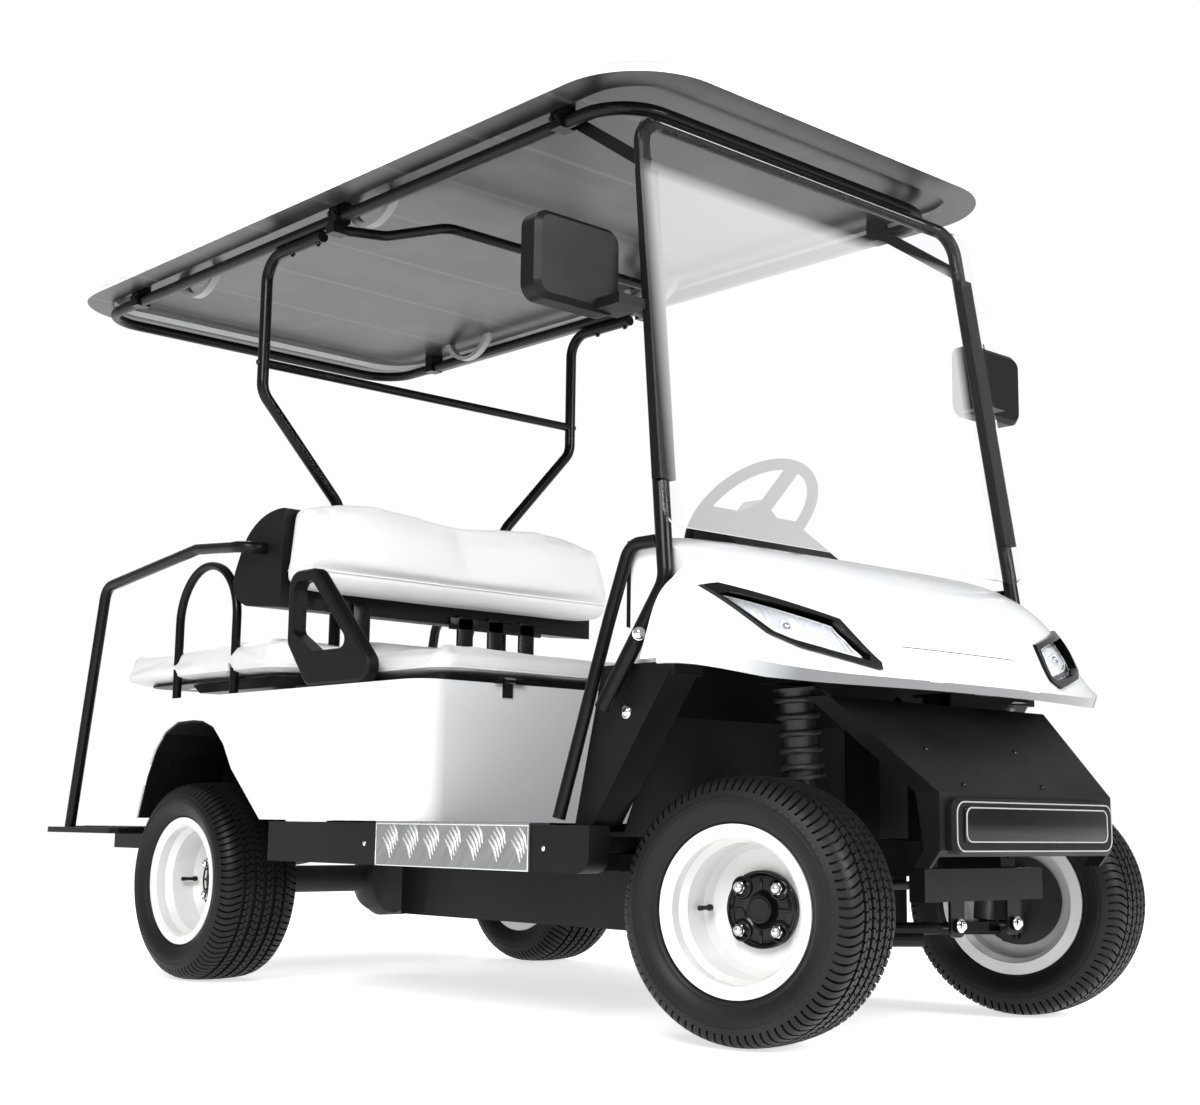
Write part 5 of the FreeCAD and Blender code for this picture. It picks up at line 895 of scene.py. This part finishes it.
def fastener(kind, size):
    """A bolt or screw head standing on the origin along Z."""
    part = bmesh.new()
    if kind == "dome":
        flange = [(-1, size * 1.25), (1.2, size * 1.25), (1.6, size * 1.1)]
        dome = [(1.6 + size * DOME_RISE * math.sin(t), size * math.cos(t)) for t in (0.25, 0.6, 0.95, 1.3)]
        outlines = [(flange + dome + [(1.6 + size * DOME_RISE, 0)], 24)]
    elif kind == "hex":
        gather(part, rounded(round_bar(size, size * 0.75, 6), size * 0.07), at(z=1.5))
        washer = [(-1, size * 1.45), (1.4, size * 1.45), (1.6, size * 1.35), (1.6, 0)]
        outlines = [(washer, 24), ([(x * size, r * size) for x, r in HEX_POINT], 16)]
    else:
        outlines = [([(-0.5, size)] + [(x * size, r * size) for x, r in SCREW_HEAD], 20)]
    for outline, steps in outlines:
        gather(part, turned(outline, steps), Matrix.Rotation(-math.pi / 2, 4, "Y"))
    return part


class CART_OT_fasteners(bpy.types.Operator):
    """Sets bolt and screw heads where the panels and tubes are joined"""
    bl_idname = "cart.fasteners"
    bl_label = "Add the fasteners"

    def execute(self, context):
        skin = skin_of(*FASTENED)
        for name, material, table in (("bright_fasteners", "chrome", BRIGHT_FASTENERS),
                                      ("dark_fasteners", "gloss", DARK_FASTENERS)):
            heads = bmesh.new()
            for start, look, kind, size, both in table:
                for side in ((1, -1) if both else (1,)):
                    origin = place(start[0] * side, start[1], start[2])
                    ahead = Vector((look[0] * side, look[1], look[2]))
                    found = skin.ray_cast(origin, ahead)
                    if found[0] is None:
                        found = skin.find_nearest(origin + ahead * 0.16)
                    gather(heads, fastener(kind, size), along(found[1], found[0]))
            new_piece(name, heads, material, "cart", 30.0)
        return {"FINISHED"}


# Step plates, in millimetres
PLATE_REAR_AFT = 858.0
PLATE_FRONT_AFT = 383.0
PLATE_TOP = 364.0
PLATE_MIDDLE = (PLATE_REAR_AFT + PLATE_FRONT_AFT) / 2
BAR_GROUPS = 7
BARS = 5
BAR_PITCH = 66.8
BAR_START = (24, 27)  # in from the plate's rear top corner
BAR_STEP = (7.2, 7.6)
BAR_REACH = (-27.0, -42.0)
BAR_GAIN = (1.2, 0.6)  # added to the reach from bar to bar
BAR_BOW = -5.0
BAR_HALF_WIDTH = 3.0
BAR_HEIGHT = 2.2
# The footrest's short bars, in metres: columns, rows, margins, pitch of the rows, reach round a bar, half axes in mm
REST_COLUMNS = 26
REST_ROWS = 14
REST_MARGIN = Vector((0.03, 0.02))
REST_PITCH = 0.024
REST_REACH = 0.012
REST_BAR = (2.4, 12.5, 1.2)


class CART_OT_step_bars(bpy.types.Operator):
    """Raises the bars of the side step plates and of the footrest"""
    bl_idname = "cart.step_bars"
    bl_label = "Add the step plates' bars"

    def execute(self, context):
        low_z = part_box("tread_plates")[0].z / MM
        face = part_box("tread_plates")[1].x
        bars = bmesh.new()
        for group in range(BAR_GROUPS):
            for i in range(BARS):
                start_aft = PLATE_REAR_AFT - BAR_START[0] - BAR_PITCH * group - BAR_STEP[0] * i
                start_z = PLATE_TOP - BAR_START[1] + BAR_STEP[1] * i
                reach = Vector((BAR_REACH[0] + BAR_GAIN[0] * i, BAR_REACH[1] + BAR_GAIN[1] * i))
                across = Vector((-reach.y, reach.x)).normalized()
                cut = max(0.0, (start_z - (PLATE_TOP - 4)) / -reach.y)
                for side in (1, -1):
                    bar = ball(10, 8)
                    inside = True
                    for v in bar.verts:
                        u = cut + (1 - cut) * (0.5 - v.co.z / 2)
                        bow = BAR_BOW * math.sin(math.pi * u)
                        spot = Vector((start_aft, start_z)) + reach * u + across * (bow + v.co.x * BAR_HALF_WIDTH)
                        inside = inside and PLATE_FRONT_AFT + 2 < spot.x < PLATE_REAR_AFT - 2
                        depth = face + v.co.y * BAR_HEIGHT * MM
                        v.co = place(0, spot.x, spot.y) + Vector((side * depth, 0, 0))
                    if inside:
                        bmesh.ops.recalc_face_normals(bar, faces=bar.faces)
                        gather(bars, bar)
                    else:
                        bar.free()
        new_piece("step_bars", bars, "bars", "cart", 60.0)
        edges = bmesh.new()
        long_edge = (2.4, PLATE_REAR_AFT - PLATE_FRONT_AFT - 2, 2.6)
        short_edge = (2.4, 2.2, PLATE_TOP - low_z - 4)
        for side in (-1, 1):
            for size, aft, z in ((long_edge, PLATE_MIDDLE, low_z + 1.5), (long_edge, PLATE_MIDDLE, PLATE_TOP - 1.5),
                                 (short_edge, PLATE_FRONT_AFT + 2, (PLATE_TOP + low_z) / 2),
                                 (short_edge, PLATE_REAR_AFT - 2, (PLATE_TOP + low_z) / 2)):
                gather(edges, block(size, 0.8), Matrix.Translation(place(side * face / MM, aft, z)))
        new_piece("step_plate_edges", edges, "bars", "cart", 60.0)
        top_bars = bmesh.new()
        low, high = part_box("footrest")
        board = skin_of("footrest")

        def board_top(x, y):
            return board.ray_cast(Vector((x, y, 3.0)), Vector((0, 0, -1)))[0]

        top = board_top(0, high.y - 0.05).z
        for i in range(REST_COLUMNS):
            for j in range(REST_ROWS):
                x = low.x + REST_MARGIN.x + (high.x - low.x - 2 * REST_MARGIN.x) * (i + 0.5) / REST_COLUMNS
                y = high.y - REST_MARGIN.y - REST_PITCH * (j + 0.5)
                under = [board_top(x + dx, y + dy) for dx in (-REST_REACH, REST_REACH)
                         for dy in (-REST_REACH, REST_REACH)]
                if all(spot is not None and abs(spot.z - top) <= 0.0005 for spot in under):
                    turn = Matrix.Rotation(math.radians(45 if (i + j) % 2 else -45), 4, "Z")
                    gather(top_bars, ball(6, 8, REST_BAR), Matrix.Translation((x, y, top)) @ turn)
        new_piece("footrest_bars", top_bars, "frame", "cart", 60.0)
        return {"FINISHED"}


# Headlamps, in millimetres
LAMP_LOW = Vector((262.0, 636.0))
LAMP_SPAN = Vector((276.0, 144.0))
LAMP_SHARES = ((1.0, 0.96), (0.906, 1.0), (0.138, 0.64), (0.0, 0.1), (0.043, 0.0), (0.572, 0.22), (0.746, 0.375))
LAMP_CELLS = 168
LAMP_RIM = 18.0
BULB = Vector((408.0, 706.0))
FLUTE_PITCH = 12.0
FLUTE_DEPTH = 2.6
REFLECTOR_DEPTH = 6.2
BULB_RING = ((-2, 13.0), (0, 14.2), (2, 13.0), (0.5, 11.4), (-2, 11.4), (-2, 13.0))


def bowl(x, z):
    """How deep the reflector lies behind the lens at a place."""
    away = math.hypot((x - BULB.x) / 1.25, z - BULB.y)
    flute = FLUTE_DEPTH * abs(math.sin(math.pi * x / FLUTE_PITCH)) * min(1.0, max(0.0, (away - 24) / 5))
    dish = 6.5 * max(0.0, 1 - (away / 28) ** 2)
    return REFLECTOR_DEPTH + dish + flute


def lamp_sheet(side, lens):
    """The fluted sheet inside one lamp: the lamp's outline drawn in by its rim, laid behind the lens."""
    corners = [LAMP_LOW + Vector((u * LAMP_SPAN.x, w * LAMP_SPAN.y)) for u, w in LAMP_SHARES]
    middle = sum(corners, Vector((0, 0))) / len(corners)
    part = bmesh.new()
    bmesh.ops.create_grid(part, x_segments=LAMP_CELLS, y_segments=LAMP_CELLS // 3, size=0.5)
    for v in part.verts:
        v.co = ((LAMP_LOW.x + (v.co.x + 0.5) * LAMP_SPAN.x) * MM, 0, (LAMP_LOW.y + (v.co.y + 0.5) * LAMP_SPAN.y) * MM)
    for first, second in zip(corners, corners[1:] + corners[:1]):
        edge = (second - first).normalized()
        normal = Vector((edge.y, -edge.x))
        if (middle - first).dot(normal) > 0:
            normal = -normal
        spot = first - normal * LAMP_RIM
        bmesh.ops.bisect_plane(part, geom=all_of(part), plane_co=(spot.x * MM, 0, spot.y * MM),
                               plane_no=(normal.x, 0, normal.y), clear_outer=True)
    for v in part.verts:
        spot = seen_ahead(lens, side * v.co.x, v.co.z)[0]
        if spot is None:
            spot = lens.find_nearest(Vector((side * v.co.x, FRONT_AXLE_Y - 0.1, v.co.z)))[0]
        v.co = Vector((side * v.co.x, spot.y + bowl(v.co.x / MM, v.co.z / MM) * MM, v.co.z))
    return faced(part, 1, -1)


class CART_OT_lamps(bpy.types.Operator):
    """Adds the headlamps' fluted reflectors, bulbs and inner frames"""
    bl_idname = "cart.lamps"
    bl_label = "Add the lamps"

    def execute(self, context):
        bright = bmesh.new()
        glass = bmesh.new()
        lens = skin_of("headlight_lenses")
        for side in (-1, 1):
            sheet = lamp_sheet(side, lens)
            rim = longest_chain([edge for edge in sheet.edges if edge.is_boundary])
            gather(bright, piped([spot - BACKWARDS * 3.4 * MM for spot in rim][::3], 1.7))
            bmesh.ops.solidify(sheet, geom=sheet.faces[:], thickness=0.0012)
            gather(bright, sheet)
            middle = Matrix.Translation(seen_ahead(lens, side * BULB.x * MM, BULB.y * MM)[0])
            gather(glass, ball(12, 20, (7.5, 7.5, 7.5)), middle @ at(y=9))
            gather(bright, turned(BULB_RING, 32), middle @ at(y=10) @ Matrix.Rotation(math.pi / 2, 4, "Z"))
        new_piece("lamp_reflectors", bright, "reflector", "cart", 50.0)
        new_piece("lamp_bulbs", glass, "plated", "cart")
        return {"FINISHED"}


# Trim: the badge plate and heights on the cowl and apron in metres, the rest in millimetres
BADGE = Vector((0.336, 0.062))
BADGE_HEIGHT = 0.653
BADGE_EDGE_HEIGHT = 0.685
PAD_HEIGHT = 0.373
# Each bead round the pad, a light grey line painted as the highlight along the pad's gloss edges: half length, low and
# high edge, radius of the corners, lift off the apron
PAD_HIGHLIGHT_BEADS = ((215, 344.5, 401.5, 14, 4.6), (236, 329, 411, 20, 0.4))
SEAT_BACK_LEGS = ((33, 82), (131, 180), (234, 284), (-284, -234))
LEG_THICKNESS = 8
LEG_GAP = 0.3


class CART_OT_trim(bpy.types.Operator):
    """Adds the blank badge plate, the bumper pad's panel, the mirror glass and the steering wheel's hub pad"""
    bl_idname = "cart.trim"
    bl_label = "Add the trim"

    def execute(self, context):
        cowl = skin_of("front_cowl")
        badge = bmesh.new()
        bmesh.ops.create_grid(badge, x_segments=48, y_segments=8, size=0.5)
        for v in badge.verts:
            spot, normal = seen_ahead(cowl, v.co.x * BADGE.x, BADGE_HEIGHT + v.co.y * BADGE.y)
            v.co = spot + normal * 1.4 * MM
        bmesh.ops.solidify(faced(badge, 1, -1), geom=badge.faces[:], thickness=0.0016)
        new_piece("badge_plate", badge, "plate_white", "cart")
        line = [seen_ahead(cowl, 0.007 * i, BADGE_EDGE_HEIGHT) for i in range(-24, 25)]
        edge = piped([spot + normal * MM for spot, normal in line], 0.9, closed=False)
        new_piece("badge_edge", edge, "frame", "cart")
        apron = skin_of("front_apron")
        spot, normal = seen_ahead(apron, 0, PAD_HEIGHT)
        panel = block((434, 58, 9), 3.0, 3)
        panel.transform(along(normal, spot))
        new_piece("pad_panel", panel, "gloss", "cart")
        # Light grey beads that paint the highlights along the bumper pad's edges.
        edges = bmesh.new()
        for half, low, high, corner, lift in PAD_HIGHLIGHT_BEADS:
            bead = []
            for x, z, first in ((half, high, 0), (-half, high, 1), (-half, low, 2), (half, low, 3)):
                middle = Vector((x - math.copysign(corner, x), z + (corner if z == low else -corner)))
                for i in range(7):
                    angle = math.radians(90 * first + 15 * i)
                    spot = middle + Vector((math.cos(angle), math.sin(angle))) * corner
                    bead.append(seen_ahead(apron, spot.x * MM, spot.y * MM)[0] + normal * lift * MM)
            gather(edges, piped(bead, 1.3))
        new_piece("pad_highlight_beads", edges, "grey_plastic", "cart")
        shell_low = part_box("seat_back_shell")[0] / MM
        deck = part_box("rear_body")[1].z / MM
        height = shell_low.z + 26 - deck - LEG_GAP
        leg_y = shell_low.y - LEG_THICKNESS / 2 - LEG_GAP
        legs = bmesh.new()
        for start, end in SEAT_BACK_LEGS:
            gather(legs, block((end - start, LEG_THICKNESS, height), 2.0),
                   at((start + end) / 2, leg_y, deck + height / 2 + LEG_GAP))
        gather(legs, block((300, LEG_THICKNESS, 30), 2.0), at(158, leg_y, shell_low.z + 4))
        new_piece("seat_back_legs", legs, "frame", "cart")
        glass = bmesh.new()
        for side in (-1, 1):
            gather(glass, block((184, 3, 142), 1.2), Matrix.Translation(place(side * 639, 258, 1374)))
        new_piece("mirror_glass", glass, "mirror", "cart")
        wheel = JOINTS["steering_wheel_turn"]
        hub = bmesh.new()
        bmesh.ops.create_cone(hub, cap_ends=True, segments=5, radius1=0.058, radius2=0.05, depth=0.024)
        rounded(hub, 10.0, 4)
        hub.transform(along(Vector(wheel["axis"]).normalized(), wheel["pos_m"], math.radians(90)) @ at(z=8))
        new_piece("wheel_hub_pad", hub, "grey_plastic", "steering_wheel", 50.0)
        return {"FINISHED"}


# Each light: place, size, power and the place it aims at, in metres and watts
LIGHTS = {"key": ((-4.6, -3.3, 3.8), 2.5, 310, (0, 0, 0.6)), "fill": ((1.5, -6.0, 3.0), 2.5, 290, (0, -0.5, 0.6)),
          "rim": ((1.5, 5.0, 4.5), 3.0, 160, (0, 0, 1.0))}
LENS_SHIFT = (-0.0103, -0.00944)


class CART_OT_stage(bpy.types.Operator):
    """Lays the floor, the lights and the camera"""
    bl_idname = "cart.stage"
    bl_label = "Set the stage"

    def execute(self, context):
        scene = context.scene
        stage = scene.cart_stage
        ground = bmesh.new()
        bmesh.ops.create_circle(ground, cap_ends=True, segments=96, radius=40)
        mesh = meshed("studio_floor", ground)
        mesh.materials.append(MATERIALS["floor"])
        linked("studio_floor", mesh)
        world = bpy.data.worlds.new("studio")
        world.use_nodes = True
        tree = world.node_tree
        path = add(tree, "LightPath").outputs
        direct = sums(tree, "MAXIMUM", path["Is Camera Ray"], path["Is Transmission Ray"])
        join_all(tree, tree.nodes["Background"], {"Color": (1, 1, 1, 1),
                                                  "Strength": ranged(tree, direct, start=stage.ambience)})
        scene.world = world
        for name, (spot, size, power, aim) in LIGHTS.items():
            light = bpy.data.lights.new(name, "AREA")
            light.size = size
            light.energy = power
            lamp = linked(name, light)
            lamp.location = spot
            lamp.rotation_euler = (Vector(aim) - Vector(spot)).to_track_quat("-Z", "Y").to_euler()
        a, e = stage.azimuth, stage.elevation
        back = Vector((math.sin(a) * math.cos(e), -math.cos(a) * math.cos(e), math.sin(e)))
        right = (-back).cross(Vector((0, 0, 1))).normalized()
        up = right.cross(-back)
        across = right * math.cos(stage.roll) + up * math.sin(stage.roll)
        upward = up * math.cos(stage.roll) - right * math.sin(stage.roll)
        turn = Matrix((across, upward, back)).transposed().to_4x4()
        camera_data = bpy.data.cameras.new("camera")
        camera_data.lens = stage.lens
        camera_data.shift_x, camera_data.shift_y = LENS_SHIFT
        scene.camera = linked("camera", camera_data)
        scene.camera.matrix_world = Matrix.Translation(stage.stand) @ turn
        scene.view_settings.view_transform = "Standard"
        return {"FINISHED"}


class CART_PT_panel(bpy.types.Panel):
    """Lists the cart's pieces in the sidebar"""
    bl_idname = "CART_PT_panel"
    bl_label = "Golf cart"
    bl_space_type = "VIEW_3D"
    bl_region_type = "UI"
    bl_category = "Cart"

    def draw(self, context):
        for operator in OPERATORS:
            self.layout.operator(operator.bl_idname)


OPERATORS = (CART_OT_frame, CART_OT_tyres, CART_OT_wheel_fittings, CART_OT_cushions, CART_OT_fasteners,
             CART_OT_step_bars, CART_OT_lamps, CART_OT_trim, CART_OT_stage)
GROUPS_OF_VALUES = {"cart_finish": CartFinish, "cart_stage": CartStage}


def register():
    for cls in (*GROUPS_OF_VALUES.values(), *OPERATORS, CART_PT_panel):
        bpy.utils.register_class(cls)
    for name, cls in GROUPS_OF_VALUES.items():
        setattr(bpy.types.Scene, name, PointerProperty(type=cls))


def unregister():
    for name in GROUPS_OF_VALUES:
        delattr(bpy.types.Scene, name)
    for cls in (CART_PT_panel, *OPERATORS[::-1], *GROUPS_OF_VALUES.values()):
        bpy.utils.unregister_class(cls)


def main():
    register()
    for operator in OPERATORS:
        group, name = operator.bl_idname.split(".")
        getattr(getattr(bpy.ops, group), name)()


if __name__ == "__main__":
    main()
